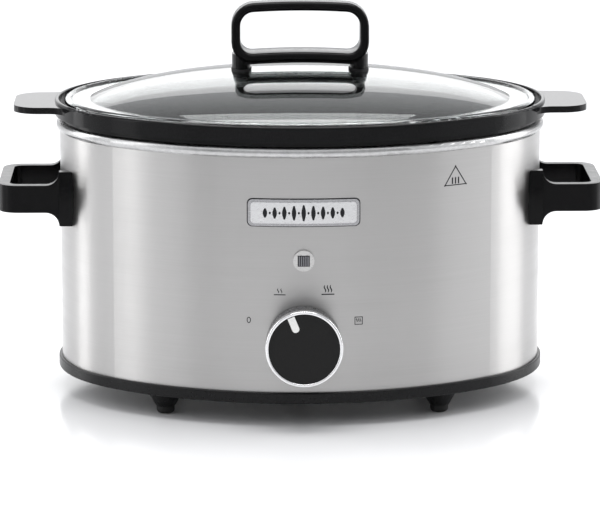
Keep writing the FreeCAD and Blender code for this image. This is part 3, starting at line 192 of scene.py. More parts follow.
def tempered_glass():
    """Clear tempered soda-lime glass with a polished surface and a hint of grey-green."""
    material, tree, place = new_finish("clear_tempered_glass")
    # the pressed dome is an exact ellipsoid, so its faces are shaded with the ellipsoid's own normal
    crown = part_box("lid_glass")[1].z
    half_x, half_y, rise = 143.0 * MM, 110.0 * MM, 30.3 * MM
    same_way = 0.985  # the rim's faces lean further than this cosine from the ellipsoid
    from_centre = vector_math(tree, "SUBTRACT", place, (0, 0, crown - rise))
    away = vector_math(tree, "NORMALIZE", vector_math(
        tree, "MULTIPLY", from_centre, (1 / half_x ** 2, 1 / half_y ** 2, 1 / rise ** 2)))
    face = add(tree, "ShaderNodeNewGeometry").outputs["Normal"]
    towards = add(tree, "ShaderNodeVectorMath", {0: away, 1: face}, operation="DOT_PRODUCT").outputs["Value"]
    side = add(tree, "ShaderNodeMath", {0: towards}, operation="SIGN").outputs[0]
    turned = add(tree, "ShaderNodeVectorMath", {0: away, "Scale": side}, operation="SCALE").outputs[0]
    match = add(tree, "ShaderNodeMath", {0: towards}, operation="ABSOLUTE").outputs[0]
    on_dome = add(tree, "ShaderNodeMath", {0: match, 1: same_way}, operation="GREATER_THAN").outputs[0]
    normal_a, normal_b, normal_out = 4, 5, 1  # the vector sockets of a Mix node
    polished = add(tree, "ShaderNodeMix", {0: on_dome, normal_a: face, normal_b: turned},
                   data_type="VECTOR").outputs[normal_out]
    sag = grain(tree, place, (40, 40, 40), detail=1)
    return close(material, tree, {
        "Base Color": linear("#f4f8f7"),
        "Roughness": 0.0,
        "IOR": 1.5,
        "Transmission Weight": 1.0,
        "Normal": relief(tree, sag, 0.02, 0.02, polished),
    })


def moulded_gloss():
    """Heat-proof nylon from a polished mould: black with a wet gloss and almost no texture."""
    material, tree, place = new_finish("black_gloss_nylon")
    skin = grain(tree, place, (5, 5, 5), detail=2)
    return close(material, tree, {
        "Base Color": tint(tree, skin, "#050506", "#09090a"),
        "Roughness": spread(tree, skin, 0.16, 0.22),
        "IOR": 1.5,
        "Specular IOR Level": 0.12,
        "Normal": relief(tree, skin, 0.02, 0.2),
    })


def moulded_satin(name, dark, light, roughness, grit):
    """Moulded plastic from a spark-eroded mould: an even satin with a fine grit, in millimetres."""
    material, tree, place = new_finish(name)
    texture = grain(tree, place, (grit, grit, grit), detail=2)
    return close(material, tree, {
        "Base Color": tint(tree, texture, dark, light),
        "Roughness": spread(tree, texture, roughness - 0.04, roughness + 0.04),
        "IOR": 1.5,
        "Specular IOR Level": 0.2,
        "Normal": relief(tree, texture, grit * 0.02, 0.4),
    })


def bright_metal(name, dark, light, roughness):
    """Plated or polished metal: clean reflections, broken a little by polishing marks."""
    material, tree, place = new_finish(name)
    marks = grain(tree, place, (2.5, 2.5, 0.6), detail=3)
    return close(material, tree, {
        "Base Color": tint(tree, marks, dark, light),
        "Metallic": 1.0,
        "Roughness": spread(tree, marks, roughness * 0.8, roughness * 1.25),
        "Normal": relief(tree, marks, 0.004, 0.3),
    })


def moulded_rubber(name, dark, light):
    """Moulded rubber: dull, with a faint bloom that lightens it in patches."""
    material, tree, place = new_finish(name)
    bloom = grain(tree, place, (6, 6, 6))
    pores = grain(tree, place, (0.6, 0.6, 0.6))
    return close(material, tree, {
        "Base Color": tint(tree, bloom, dark, light),
        "Roughness": spread(tree, pores, 0.62, 0.78),
        "IOR": 1.52,
        "Specular IOR Level": 0.4,
        "Normal": relief(tree, pores, 0.03, 0.6),
    })


def wire_insulation(name, dark, light):
    """Extruded PVC sleeve: satin, with slow streaks from the die."""
    material, tree, place = new_finish(name)
    streaks = grain(tree, place, (1.0, 12, 1.0))
    return close(material, tree, {
        "Base Color": tint(tree, streaks, dark, light),
        "Roughness": spread(tree, streaks, 0.38, 0.48),
        "IOR": 1.53,
        "Normal": relief(tree, streaks, 0.02, 0.4),
    })


def earth_insulation():
    """Green PVC with the yellow stripe that marks an earth wire."""
    material, tree, place = new_finish("green_yellow_pvc")
    twist = add(tree, "ShaderNodeTexWave", {
        "Vector": place, "Scale": 55.0, "Distortion": 0.0}, bands_direction="DIAGONAL").outputs["Fac"]
    streaks = grain(tree, place, (1.0, 12, 1.0))
    return close(material, tree, {
        "Base Color": tint(tree, twist, "#2f8a35", "#e4cf2c"),
        "Roughness": spread(tree, streaks, 0.38, 0.48),
        "IOR": 1.53,
    })


def glass_braid():
    """Woven glass sleeve over a heater lead: off-white, with threads 0.6 mm apart."""
    material, tree, place = new_finish("woven_glass_sleeve")
    weave = add(tree, "ShaderNodeTexVoronoi", {"Vector": place, "Scale": 1 / (0.6 * MM)}).outputs["Distance"]
    dust = grain(tree, place, (4, 4, 4))
    return close(material, tree, {
        "Base Color": tint(tree, dust, "#cfccc2", "#e4e2da"),
        "Roughness": spread(tree, weave, 0.6, 0.8),
        "IOR": 1.5,
        "Normal": relief(tree, weave, 0.15, 0.7),
    })


def lamp_envelope():
    """Small blown-glass lamp, tinted by the neon behind it."""
    material, tree, place = new_finish("neon_lamp_glass")
    ripple = grain(tree, place, (2, 2, 2), detail=1)
    return close(material, tree, {
        "Base Color": linear("#f5b48c"),
        "Roughness": 0.05,
        "IOR": 1.5,
        "Transmission Weight": 0.9,
        "Normal": relief(tree, ripple, 0.05, 0.3),
    })


STEEL = brushed_stainless()
RIM = rolled_rim()
GLAZE = glazed_stoneware()
GLASS = tempered_glass()
GLOSS = moulded_gloss()
BASE_BLACK = moulded_satin("black_satin_polypropylene", "#0c0c0d", "#141415", 0.30, 1.2)
KNOB_BLACK = moulded_satin("charcoal_matt_abs", "#171717", "#1e1e1e", 0.55, 0.5)
GREY_ABS = moulded_satin("grey_satin_abs", "#6e6e70", "#7b7b7d", 0.40, 0.6)
WHITE_ABS = moulded_satin("white_satin_abs", "#e9e9e7", "#f4f4f2", 0.35, 0.6)
SWITCH_BAKELITE = moulded_satin("grey_phenolic", "#2c2c2e", "#3a3a3c", 0.45, 0.5)
SMOKED = moulded_satin("smoked_polycarbonate", "#1c1c1f", "#26262a", 0.18, 0.8)
# a paler copy of the smoked lens plastic: painted highlights on the lens ribs
SMOKED_WITH_PAINTED_HIGHLIGHT = moulded_satin("smoked_polycarbonate_painted_highlight", "#77777b", "#85858a", 0.18, 0.8)
# black ink for the printed marks and the badge ornament, and also for the painted shadow line round the
# badge frame
PRINT_INK_AND_PAINTED_SHADOW = moulded_satin("black_screen_ink_and_painted_shadow", "#19191c", "#222226", 0.50, 0.4)
CHROME = bright_metal("chromed_brass", "#e0e0e1", "#eeeeef", 0.12)
SATIN_CHROME = bright_metal("satin_chromed_abs", "#8f8f91", "#a0a0a2", 0.28)
BADGE_SILVER = bright_metal("satin_anodised_aluminium", "#d4d4d5", "#e2e2e3", 0.30)
BADGE_EDGE = bright_metal("satin_nickel_plate", "#a2a2a4", "#b0b0b2", 0.24)
BEZEL = bright_metal("satin_nickel_bezel", "#c2c1c0", "#cfcecd", 0.30)
ZINC = bright_metal("bright_zinc_plate", "#9fa2a3", "#b6b9ba", 0.30)
MILL_ALUMINIUM = bright_metal("mill_aluminium", "#c2c3c4", "#d2d3d4", 0.35)
BRASS = bright_metal("machined_brass", "#b9924a", "#cfab62", 0.25)
RUBBER = moulded_rubber("black_moulded_rubber", "#141414", "#1e1e1e")
SILICONE = moulded_rubber("black_silicone", "#161617", "#202021")
BROWN_WIRE = wire_insulation("brown_pvc", "#4a2a17", "#5d3821")
BLUE_WIRE = wire_insulation("blue_pvc", "#1f4f9c", "#2d63b5")
EARTH_WIRE = earth_insulation()
BRAID = glass_braid()
LAMP = lamp_envelope()

FINISHES = {
    "outer_shell": STEEL, "rear_plate": STEEL, "heating_well": RIM, "crock": GLAZE, "lid_glass": GLASS,
    "lid_handle": GLOSS, "side_handle_left": GLOSS, "side_handle_right": GLOSS,
    "base": BASE_BLACK, "rubber_feet": RUBBER, "lid_gasket": SILICONE, "lid_washers": SILICONE,
    "lid_screws": ZINC, "handle_screws": ZINC, "bracket_screws": ZINC, "switch_bracket": ZINC,
    "stud_nuts": ZINC, "stud_washer": ZINC, "centre_stud": ZINC, "stud_spacer": ZINC,
    "badge_push_nuts": ZINC, "lamp_clip": ZINC, "fuse_clip": ZINC, "heater_straps": ZINC,
    "heater_band_low": MILL_ALUMINIUM, "heater_band_high": MILL_ALUMINIUM,
    "heat_shield": MILL_ALUMINIUM, "knob_skirt": SATIN_CHROME, "knob_ring": CHROME,
    "knob_face": KNOB_BLACK, "knob_pointer": WHITE_ABS, "switch_body": SWITCH_BAKELITE,
    "switch_cam": GREY_ABS, "switch_shaft": BRASS, "switch_nut": BRASS, "earth_tag": BRASS,
    "terminal_screws": BRASS, "terminal_block": WHITE_ABS, "thermal_fuse": WHITE_ABS,
    "indicator_bezel": BEZEL, "indicator_lens": SMOKED, "neon_lamp": LAMP,
    "badge_frame": BADGE_EDGE, "badge_plate": BADGE_SILVER, "cord_gland": BASE_BLACK,
    "gland_nut": BASE_BLACK, "wire_live": BROWN_WIRE, "wire_neutral": BLUE_WIRE,
    "wire_earth": EARTH_WIRE, "wire_switch": BROWN_WIRE, "wire_heater_low": BRAID,
    "wire_heater_high": BRAID,
}


def finish_nodes():
    for name, material in FINISHES.items():
        slots = NODES[name].data.materials
        slots.clear()
        slots.append(material)


# ---------- modelling tools ----------

def start(name):
    """Name the primitive just added and go into edit mode with nothing selected."""
    piece = bpy.context.object
    piece.name = name
    piece.data.name = name
    bpy.ops.object.mode_set(mode="EDIT")
    bpy.ops.mesh.select_all(action="DESELECT")
    return piece


def fresh():
    """Deselect everything before a primitive is added."""
    if bpy.context.object and bpy.context.object.mode != "OBJECT":
        bpy.ops.object.mode_set(mode="OBJECT")
    bpy.ops.object.select_all(action="DESELECT")


def pick(kind, test):
    """In edit mode, select the VERT, EDGE or FACE items whose middle and normal pass a test."""
    bpy.ops.mesh.select_mode(type=kind)
    bpy.ops.mesh.select_all(action="DESELECT")
    mesh = bmesh.from_edit_mesh(bpy.context.object.data)
    for item in {"VERT": mesh.verts, "EDGE": mesh.edges, "FACE": mesh.faces}[kind]:
        if kind == "FACE":
            middle, normal = item.calc_center_median(), item.normal
        elif kind == "EDGE":
            middle, normal = (item.verts[0].co + item.verts[1].co) / 2, item.verts[1].co - item.verts[0].co
        else:
            middle, normal = item.co, item.normal
        item.select_set(bool(test(middle, normal)))
    mesh.select_flush_mode()
    bmesh.update_edit_mesh(bpy.context.object.data)


def done(piece):
    """Back to object mode with the place applied, so that the object sits at the origin."""
    bpy.ops.object.mode_set(mode="OBJECT")
    bpy.ops.object.transform_apply(location=True, rotation=True, scale=True)
    return piece


def stand_up(piece, x, y, z, turn=0.0):
    """Stand a flat piece, drawn on the ground about the origin, up to face the front, turned about Y."""
    bpy.ops.object.mode_set(mode="OBJECT")
    piece.rotation_euler = (QUARTER, turn, 0)
    piece.location = (x, y, z)
    bpy.ops.object.transform_apply(location=True, rotation=True, scale=True)
    return piece


def modify(piece, kind, **settings):
    """Add a modifier with these settings and apply it."""
    bpy.context.view_layer.objects.active = piece
    change = piece.modifiers.new(kind.lower(), kind)
    for name, value in settings.items():
        setattr(change, name, value)
    bpy.ops.object.modifier_apply(modifier=change.name)


def join(pieces, name):
    """One object of several."""
    bpy.ops.object.select_all(action="DESELECT")
    for piece in pieces:
        piece.select_set(True)
    bpy.context.view_layer.objects.active = pieces[0]
    if len(pieces) > 1:
        bpy.ops.object.join()
    joined = bpy.context.object
    joined.name = name
    joined.data.name = name
    return joined


def settle(piece, material, body):
    """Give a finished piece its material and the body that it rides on."""
    piece.data.materials.clear()
    piece.data.materials.append(material)
    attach(piece, body)


def lay_on(piece, node, thickness):
    """Lay a flat piece, which stands in front of a node, on the node's front, and give it thickness."""
    modify(piece, "SHRINKWRAP", target=NODES[node], wrap_method="PROJECT", use_project_y=True,
           use_positive_direction=True, use_negative_direction=False)
    modify(piece, "SOLIDIFY", thickness=thickness, offset=1.0)


# ---------- printed marks ----------

PRINT_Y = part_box("outer_shell")[0].y - 1 * MM  # where marks are drawn before they are laid on the wall
INK_THICKNESS = 0.06 * MM


def knob_middle():
    """The knob's axis, as a place in X and Z."""
    low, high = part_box("knob_ring")
    return (low.x + high.x) / 2, (low.z + high.z) / 2


def ring_mark(name, x, z, half_width, half_height, wall):
    """A flat oval ring that faces the front."""
    fresh()
    bpy.ops.mesh.primitive_circle_add(vertices=40, radius=1, fill_type="NGON",
                                      location=(0, 0, 0), rotation=(0, 0, 0))
    piece = start(name)
    bpy.ops.mesh.select_all(action="SELECT")
    bpy.ops.transform.resize(value=(half_width, half_height, 1))
    bpy.ops.mesh.inset(thickness=wall, depth=0)
    bpy.ops.mesh.delete(type="FACE")
    return stand_up(piece, x, PRINT_Y, z)


def bar_mark(name, x, z, half_width, half_height, turn=0.0):
    """A flat bar, cut across so that it can follow the wall, and turned about its middle."""
    fresh()
    bpy.ops.mesh.primitive_grid_add(x_subdivisions=8, y_subdivisions=2, size=2,
                                    location=(0, 0, 0), rotation=(0, 0, 0))
    piece = start(name)
    bpy.ops.mesh.select_all(action="SELECT")
    bpy.ops.transform.resize(value=(half_width, half_height, 1))
    return stand_up(piece, x, PRINT_Y, z, turn)


def frame_mark(name, x, z, corners, radius, wall):
    """The sides of a polygon that stands on a level side, each a bar."""
    bars = []
    for i in range(corners):
        turn = 2 * math.pi * i / corners
        away = radius * math.cos(math.pi / corners) - wall / 2
        bars.append(bar_mark(f"{name}_{i}", x - away * math.sin(turn), z - away * math.cos(turn),
                             radius * math.sin(math.pi / corners), wall / 2, turn))
    return bars


def wave_mark(name, x, z, half_height, half_width, sway):
    """A thin upright stroke that sways twice, with its ends drawn to points."""
    rows = 12
    fresh()
    bpy.ops.mesh.primitive_grid_add(x_subdivisions=2, y_subdivisions=rows, size=2,
                                    location=(0, 0, 0), rotation=(0, 0, 0))
    piece = start(name)
    bpy.ops.mesh.select_all(action="SELECT")
    bpy.ops.transform.resize(value=(half_width, half_height, 1))
    for row in range(rows + 1):
        along = row / rows
        level = (2 * along - 1) * half_height
        pick("VERT", lambda co, no: abs(co.y - level) < half_height / rows / 2)
        slim = 0.35 + 0.65 * math.sin(math.pi * along)
        bpy.ops.transform.resize(value=(slim, 1, 1), center_override=(0, 0, 0))
        bpy.ops.transform.translate(value=(sway * math.sin(2 * math.pi * along), 0, 0))
    return stand_up(piece, x, PRINT_Y, z)


def waves(name, x, z, apart, count, half_height, half_width, sway):
    """A row of upright waves about a middle place."""
    return [wave_mark(f"{name}_{i}", x + (i - (count - 1) / 2) * apart, z, half_height, half_width, sway)
            for i in range(count)]


def print_marks():
    """The four settings round the knob, and a plain sign near the rim."""
    knob_x, knob_z = knob_middle()
    off = [ring_mark("off_ring", knob_x - 33.0 * MM, knob_z + 13.3 * MM, 1.25 * MM, 1.9 * MM, 0.5 * MM)]
    low_x, low_z = knob_x - 14.4 * MM, knob_z + 30.8 * MM
    low = [bar_mark("low_bar", low_x, low_z - 1.6 * MM, 3.5 * MM, 0.3 * MM)]
    low += waves("low_wave", low_x, low_z + 0.8 * MM, 2.0 * MM, 2, 1.5 * MM, 0.32 * MM, 0.35 * MM)
    high_x, high_z = knob_x + 14.6 * MM, knob_z + 32.2 * MM
    high = [bar_mark("high_bar", high_x, high_z - 2.8 * MM, 3.9 * MM, 0.35 * MM)]
    high += waves("high_wave", high_x, high_z + 0.6 * MM, 1.8 * MM, 3, 2.3 * MM, 0.42 * MM, 0.45 * MM)
    warm_x, warm_z = knob_x + 33.2 * MM, knob_z + 12.6 * MM
    warm = frame_mark("warm_pot", warm_x, warm_z, 4, 3.5 * MM, 0.45 * MM)
    warm += waves("warm_wave", warm_x, warm_z + 0.3 * MM, 1.1 * MM, 3, 1.3 * MM, 0.3 * MM, 0.3 * MM)
    sign_x, sign_z = 92.3 * MM, 147.0 * MM
    sign = frame_mark("sign_edge", sign_x, sign_z, 3, 8.2 * MM, 0.6 * MM)
    sign += [bar_mark(f"sign_bar_{i}", sign_x + (i - 1) * 1.9 * MM, sign_z - 1.1 * MM, 0.4 * MM, 2.0 * MM)
             for i in range(3)]
    for name, strokes in (("mark_off", off), ("mark_low", low), ("mark_high", high),
                          ("mark_warm", warm), ("rim_sign", sign)):
        mark = join(strokes, name)
        lay_on(mark, "outer_shell", INK_THICKNESS)
        settle(mark, PRINT_INK_AND_PAINTED_SHADOW, "housing")


# ---------- handles ----------

LID_ARCH = 2.0 * MM  # how far the bars of the lid's handle fall from the middle to the ends

def step(x=0.0, y=0.0, z=0.0):
    """Extrude the selected face by a step."""
    bpy.ops.mesh.extrude_region_move(TRANSFORM_OT_translate={"value": (x, y, z)})


def turn_corner(centre, axis, angle):
    """Sweep the selected face round a corner, in seven steps."""
    bpy.ops.mesh.spin(steps=7, angle=angle, center=centre, axis=axis)


def smooth(piece):
    """Smooth shading that keeps the sharper edges."""
    bpy.ops.object.select_all(action="DESELECT")
    piece.select_set(True)
    bpy.context.view_layer.objects.active = piece
    bpy.ops.object.shade_smooth_by_angle(angle=math.radians(32))


def face_outwards(piece):
    """Merge doubles and turn every face outwards."""
    bpy.context.view_layer.objects.active = piece
    bpy.ops.object.mode_set(mode="EDIT")
    bpy.ops.mesh.select_all(action="SELECT")
    bpy.ops.mesh.remove_doubles(threshold=0.01 * MM)
    bpy.ops.mesh.normals_make_consistent(inside=False)
    bpy.ops.object.mode_set(mode="OBJECT")


def round_edges(piece, width):
    """Round every edge that turns by more than fifty degrees."""
    modify(piece, "BEVEL", width=width, segments=4, limit_method="ANGLE", angle_limit=math.radians(50))


def end_arc(y):
    """Where the shell's end is along X at this Y. Its end arcs have their centres on the X axis."""
    radius = 98 * MM
    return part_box("outer_shell")[1].x - radius + math.sqrt(radius ** 2 - y ** 2)


def side_handle(name, node, side):
    """A strap handle: a flat loop with rounded corners, whose arms flare like a trumpet into the shell."""
    low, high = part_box(node)
    level, half_tall = (low.z + high.z) / 2, (high.z - low.z) / 2
    outer, arm, half_strap, corner, bulge = high.y, 7 * MM, 8.5 * MM, 12.5 * MM, 2 * MM
    tip, near = max(abs(low.x), abs(high.x)), 0.1 * MM
    root, flare_start = end_arc(outer) - 2 * MM, end_arc(outer) + 8 * MM
    fresh()
    bpy.ops.mesh.primitive_cube_add(size=1, location=((root + flare_start) / 2, -outer + arm / 2, level),
                                    scale=(flare_start - root, arm, 2 * half_tall))
    bpy.ops.object.transform_apply(location=True, rotation=True, scale=True)
    piece = start(name)
    # the arm narrows in a quarter circle from the flare to the strap
    pick("FACE", lambda co, no: no.x > 0.9)
    throat, steps = half_tall - half_strap, 7
    tall, reached = half_tall, 0.0
    for i in range(1, steps + 1):
        angle = QUARTER * i / steps
        reach, now = throat * (1 - math.cos(angle)), half_tall - throat * math.sin(angle)
        step(x=reach - reached)
        bpy.ops.transform.resize(value=(1, 1, now / tall),
                                 center_override=(flare_start, -outer + arm / 2, level))
        tall, reached = now, reach
    # along the arm, round the corner and to the middle of the handle
    step(x=tip - corner - flare_start - throat)
    turn_corner((tip - corner, -outer + corner, level), (0, 0, 1), -QUARTER)
    pick("FACE", lambda co, no: co.y > -outer + corner - near and abs(no.y) > 0.9 and co.x > tip - corner)
    step(y=outer - corner)
    bpy.ops.mesh.delete(type="FACE")
    # the root bulges at half height, so that its foot is an oval on the shell
    for height in (-0.45, 0.45):
        bpy.ops.mesh.select_all(action="SELECT")
        bpy.ops.mesh.bisect(plane_co=(0, 0, level + height * half_tall), plane_no=(0, 0, 1))
    pick("VERT", lambda co, no: abs(co.z - level) < 0.5 * half_tall and co.x < flare_start + near
         and co.y < -outer + near)
    bpy.ops.transform.translate(value=(0, -bulge, 0))
    # the root's end follows the shell
    pick("VERT", lambda co, no: co.x < root + near and co.y > -outer + bulge / 2)
    bpy.ops.transform.translate(value=(end_arc(outer - arm) - end_arc(outer), 0, 0))
    pick("VERT", lambda co, no: co.x < root + near and co.y < -outer - bulge / 2)
    bpy.ops.transform.translate(value=(end_arc(outer + bulge) - end_arc(outer), 0, 0))
    bpy.ops.object.mode_set(mode="OBJECT")
    modify(piece, "MIRROR", use_axis=(False, True, False), use_clip=True)
    face_outwards(piece)
    round_edges(piece, 1.9 * MM)
    if side < 0:
        piece.scale = (-1, 1, 1)
        bpy.ops.object.select_all(action="DESELECT")
        piece.select_set(True)
        bpy.ops.object.transform_apply(location=True, rotation=True, scale=True)
        face_outwards(piece)
    smooth(piece)
    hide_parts(node)
    settle(piece, GLOSS, "housing")


def arch(piece, half, drop):
    """Bend level bars down towards their ends, by a drop at this distance from the middle."""
    bpy.context.view_layer.objects.active = piece
    bpy.ops.object.mode_set(mode="EDIT")
    for column in sorted({round(abs(v.co.x), 5) for v in piece.data.vertices}):
        pick("VERT", lambda co, no: abs(abs(co.x) - column) < 0.02 * MM)
        bpy.ops.transform.translate(value=(0, 0, -drop * (column / half) ** 2))
    bpy.ops.object.mode_set(mode="OBJECT")


def oval_post(name, x, z, radius, half_depth, height):
    """An upright oval post about a middle place."""
    fresh()
    bpy.ops.mesh.primitive_cylinder_add(vertices=40, radius=radius, depth=height, location=(x, 0, z))
    post = start(name)
    bpy.ops.mesh.select_all(action="SELECT")
    bpy.ops.transform.resize(value=(1, half_depth / radius, 1))
    return done(post)


def loop_ring(half, deep, floor, top):
    """The handle's rounded loop, deepest at its foot and half as deep at its top."""
    bar, corner, start_half, near = 5.6 * MM, 13.5 * MM, 6 * MM, 0.1 * MM
    fresh()
    bpy.ops.mesh.primitive_cube_add(size=1, location=(start_half / 2, 0, floor + bar / 2),
                                    scale=(start_half, 2 * deep, bar))
    bpy.ops.object.transform_apply(location=True, rotation=True, scale=True)
    loop = start("lid_loop")
    pick("FACE", lambda co, no: no.x < -0.9)
    bpy.ops.mesh.delete(type="FACE")
    # half a loop: out along the lower bar, up the side and back along the upper bar
    pick("FACE", lambda co, no: no.x > 0.9)
    runs = 4
    run = (half - corner - start_half) / runs
    for _ in range(runs):
        step(x=run)
    turn_corner((half - corner, 0, floor + corner), (0, 1, 0), QUARTER)
    pick("FACE", lambda co, no: abs(no.z) > 0.9 and abs(co.z - floor - corner) < near
         and co.x > half - corner)
    step(z=top - floor - 2 * corner)
    turn_corner((half - corner, 0, top - corner), (0, 1, 0), QUARTER)
    pick("FACE", lambda co, no: abs(no.x) > 0.9 and abs(co.x - half + corner) < near and co.z > top - corner)
    for _ in range(runs):
        step(x=-run)
    step(x=-start_half)
    bpy.ops.mesh.delete(type="FACE")
    bpy.ops.object.mode_set(mode="OBJECT")
    modify(loop, "MIRROR", use_axis=(True, False, False), use_clip=True)
    face_outwards(loop)
    bpy.context.view_layer.objects.active = loop
    bpy.ops.object.mode_set(mode="EDIT")
    for level in sorted({round(v.co.z, 5) for v in loop.data.vertices}):
        pick("VERT", lambda co, no: abs(co.z - level) < 0.02 * MM)
        slim = 1 - 0.5 * (level - floor) / (top - floor)
        bpy.ops.transform.resize(value=(1, slim, 1), center_override=(0, 0, 0))
    arch(loop, half, LID_ARCH)
    round_edges(loop, 2.0 * MM)
    return loop


def loop_web(half, deep, floor):
    """The web that fills the space between the posts, under the lower bar."""
    fresh()
    bpy.ops.mesh.primitive_grid_add(x_subdivisions=24, y_subdivisions=2, size=2, location=(0, 0, 0))
    web = start("lid_web")
    bpy.ops.mesh.select_all(action="SELECT")
    bpy.ops.transform.resize(value=(half - 7 * MM, deep - 4 * MM, 1))
    bpy.ops.transform.translate(value=(0, 0, floor + 1.5 * MM))
    pick("FACE", lambda co, no: True)
    step(z=-2.8 * MM)
    bpy.ops.object.mode_set(mode="OBJECT")
    face_outwards(web)
    arch(web, half, LID_ARCH)
    return web


def lid_loop():
    """The lid's handle: a loop on two posts with a web between them, and a pad under each post."""
    low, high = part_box("lid_handle")
    half, deep = high.x, (high.y - low.y) / 2
    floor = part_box("lid_gasket")[1].z + 5.1 * MM  # underside of the loop's lower bar
    loop = loop_ring(half, deep, floor, high.z)
    radius, post_top, lip = 5.8 * MM, floor + 3.6 * MM, 0.5 * MM
    posts = [oval_post(f"lid_post_{side + 1}", side * (half - radius - 0.3 * MM), (post_top + low.z) / 2,
                       radius, deep - 3 * MM, post_top - low.z) for side in (1, -1)]
    seats = [oval_post(f"lid_seat_{side + 1}", side * (half - radius - lip), low.z + 0.2 * MM,
                       radius + lip, deep - 3 * MM + lip, 1.9 * MM) for side in (1, -1)]
    pads = join(seats, "lid_seat_pads")
    smooth(pads)
    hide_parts("lid_gasket")
    settle(pads, SILICONE, "lid")
    for extra in posts + [loop_web(half, deep, floor)]:
        modify(loop, "BOOLEAN", object=extra, operation="UNION", solver="EXACT")
        bpy.data.objects.remove(extra)
    face_outwards(loop)
    smooth(loop)
    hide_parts("lid_handle")
    settle(loop, GLOSS, "lid")


# ---------- knob and lamp ----------

def knurl_skirt():
    """Fine ribs all round the knob's skirt."""
    low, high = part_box("knob_skirt")
    x, z = knob_middle()
    radius, length = (high.x - low.x) / 2 - 0.05 * MM, high.y - low.y - 3 * MM
    fresh()
    bpy.ops.mesh.primitive_cylinder_add(vertices=120, radius=radius, depth=length,
                                        location=(x, (low.y + high.y) / 2, z), rotation=FACING_FRONT)
    knurl = done(start("knob_knurl"))
    bpy.ops.object.mode_set(mode="EDIT")
    pick("FACE", lambda co, no: abs(no.y) < 0.1)
    bpy.ops.mesh.inset(thickness=0.15 * MM, depth=0.4 * MM, use_individual=True)
    bpy.ops.object.mode_set(mode="OBJECT")
    settle(knurl, SATIN_CHROME, "knob")


def round_pointer():
    """The knob's white pointer, a bar with a round inner end."""
    low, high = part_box("knob_pointer")
    x, z = knob_middle()
    away_x, away_z = (low.x + high.x) / 2 - x, (low.z + high.z) / 2 - z
    away, turn = math.hypot(away_x, away_z), math.atan2(away_x, away_z)
    half_width, half_length = 2.2 * MM, 4.8 * MM
    fresh()
    bpy.ops.mesh.primitive_cube_add(size=2, location=(0, (low.y + high.y) / 2, away),
                                    scale=(half_width, (high.y - low.y) / 2, half_length))
    bpy.ops.object.transform_apply(location=True, rotation=True, scale=True)
    pointer = start("pointer_bar")
    pick("EDGE", lambda co, way: abs(way.y) > 0.5 * (high.y - low.y) and co.z < away)
    bpy.ops.mesh.bevel(offset=2.1 * MM, segments=8, affect="EDGES")
    bpy.ops.object.mode_set(mode="OBJECT")
    pointer.rotation_euler = (0, turn, 0)
    pointer.location = (x, 0, z)
    bpy.ops.object.transform_apply(location=True, rotation=True, scale=True)
    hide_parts("knob_pointer")
    settle(pointer, WHITE_ABS, "knob")


def flute_lens():
    """Upright ribs on the front of the indicator's lens, in a paler copy of the lens's smoked plastic:
    painted highlights along the ribs.
    """
    low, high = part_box("indicator_lens")
    ribs = []
    for i in range(5):
        fresh()
        bpy.ops.mesh.primitive_cylinder_add(
            vertices=20, radius=0.42 * MM, depth=high.z - low.z - 0.8 * MM,
            location=((i - 2) * 1.3 * MM, low.y + 0.1 * MM, (low.z + high.z) / 2))
        ribs.append(done(start(f"lens_rib_{i}")))
    flutes = join(ribs, "lens_flutes")
    smooth(flutes)
    settle(flutes, SMOKED_WITH_PAINTED_HIGHLIGHT, "housing")


# ---------- badge ornament ----------

def lozenge(name, x, z, half_width, half_height):
    """A flat four-cornered leaf that faces the front."""
    fresh()
    bpy.ops.mesh.primitive_circle_add(vertices=16, radius=1, fill_type="NGON",
                                      location=(0, 0, 0), rotation=(0, 0, 0))
    piece = start(name)
    bpy.ops.mesh.select_all(action="SELECT")
    bpy.ops.transform.resize(value=(half_width, half_height, 1))
    for side in (1, -1):
        pick("VERT", lambda co, no: co.y * side > half_height * 0.9)
        bpy.ops.transform.translate(value=(0, side * half_height * 0.25, 0))
    return stand_up(piece, x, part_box("badge_plate")[0].y - 1 * MM, z)


def dress_badge():
    """A plain row of leaves and dots in black enamel on the badge plate."""
    low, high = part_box("badge_plate")
    level = (low.z + high.z) / 2
    leaves = []
    for i in range(-4, 5):
        tall = (4.0 - 0.42 * abs(i)) * MM
        leaves.append(lozenge(f"leaf_{i + 4}", i * 5.8 * MM, level, 1.35 * MM, tall))
    for i in range(-4, 4):
        leaves.append(lozenge(f"dot_{i + 4}", (i + 0.5) * 5.8 * MM, level, 0.65 * MM, 0.65 * MM))
    ornament = join(leaves, "badge_ornament")
    lay_on(ornament, "badge_plate", 0.15 * MM)
    settle(ornament, PRINT_INK_AND_PAINTED_SHADOW, "housing")


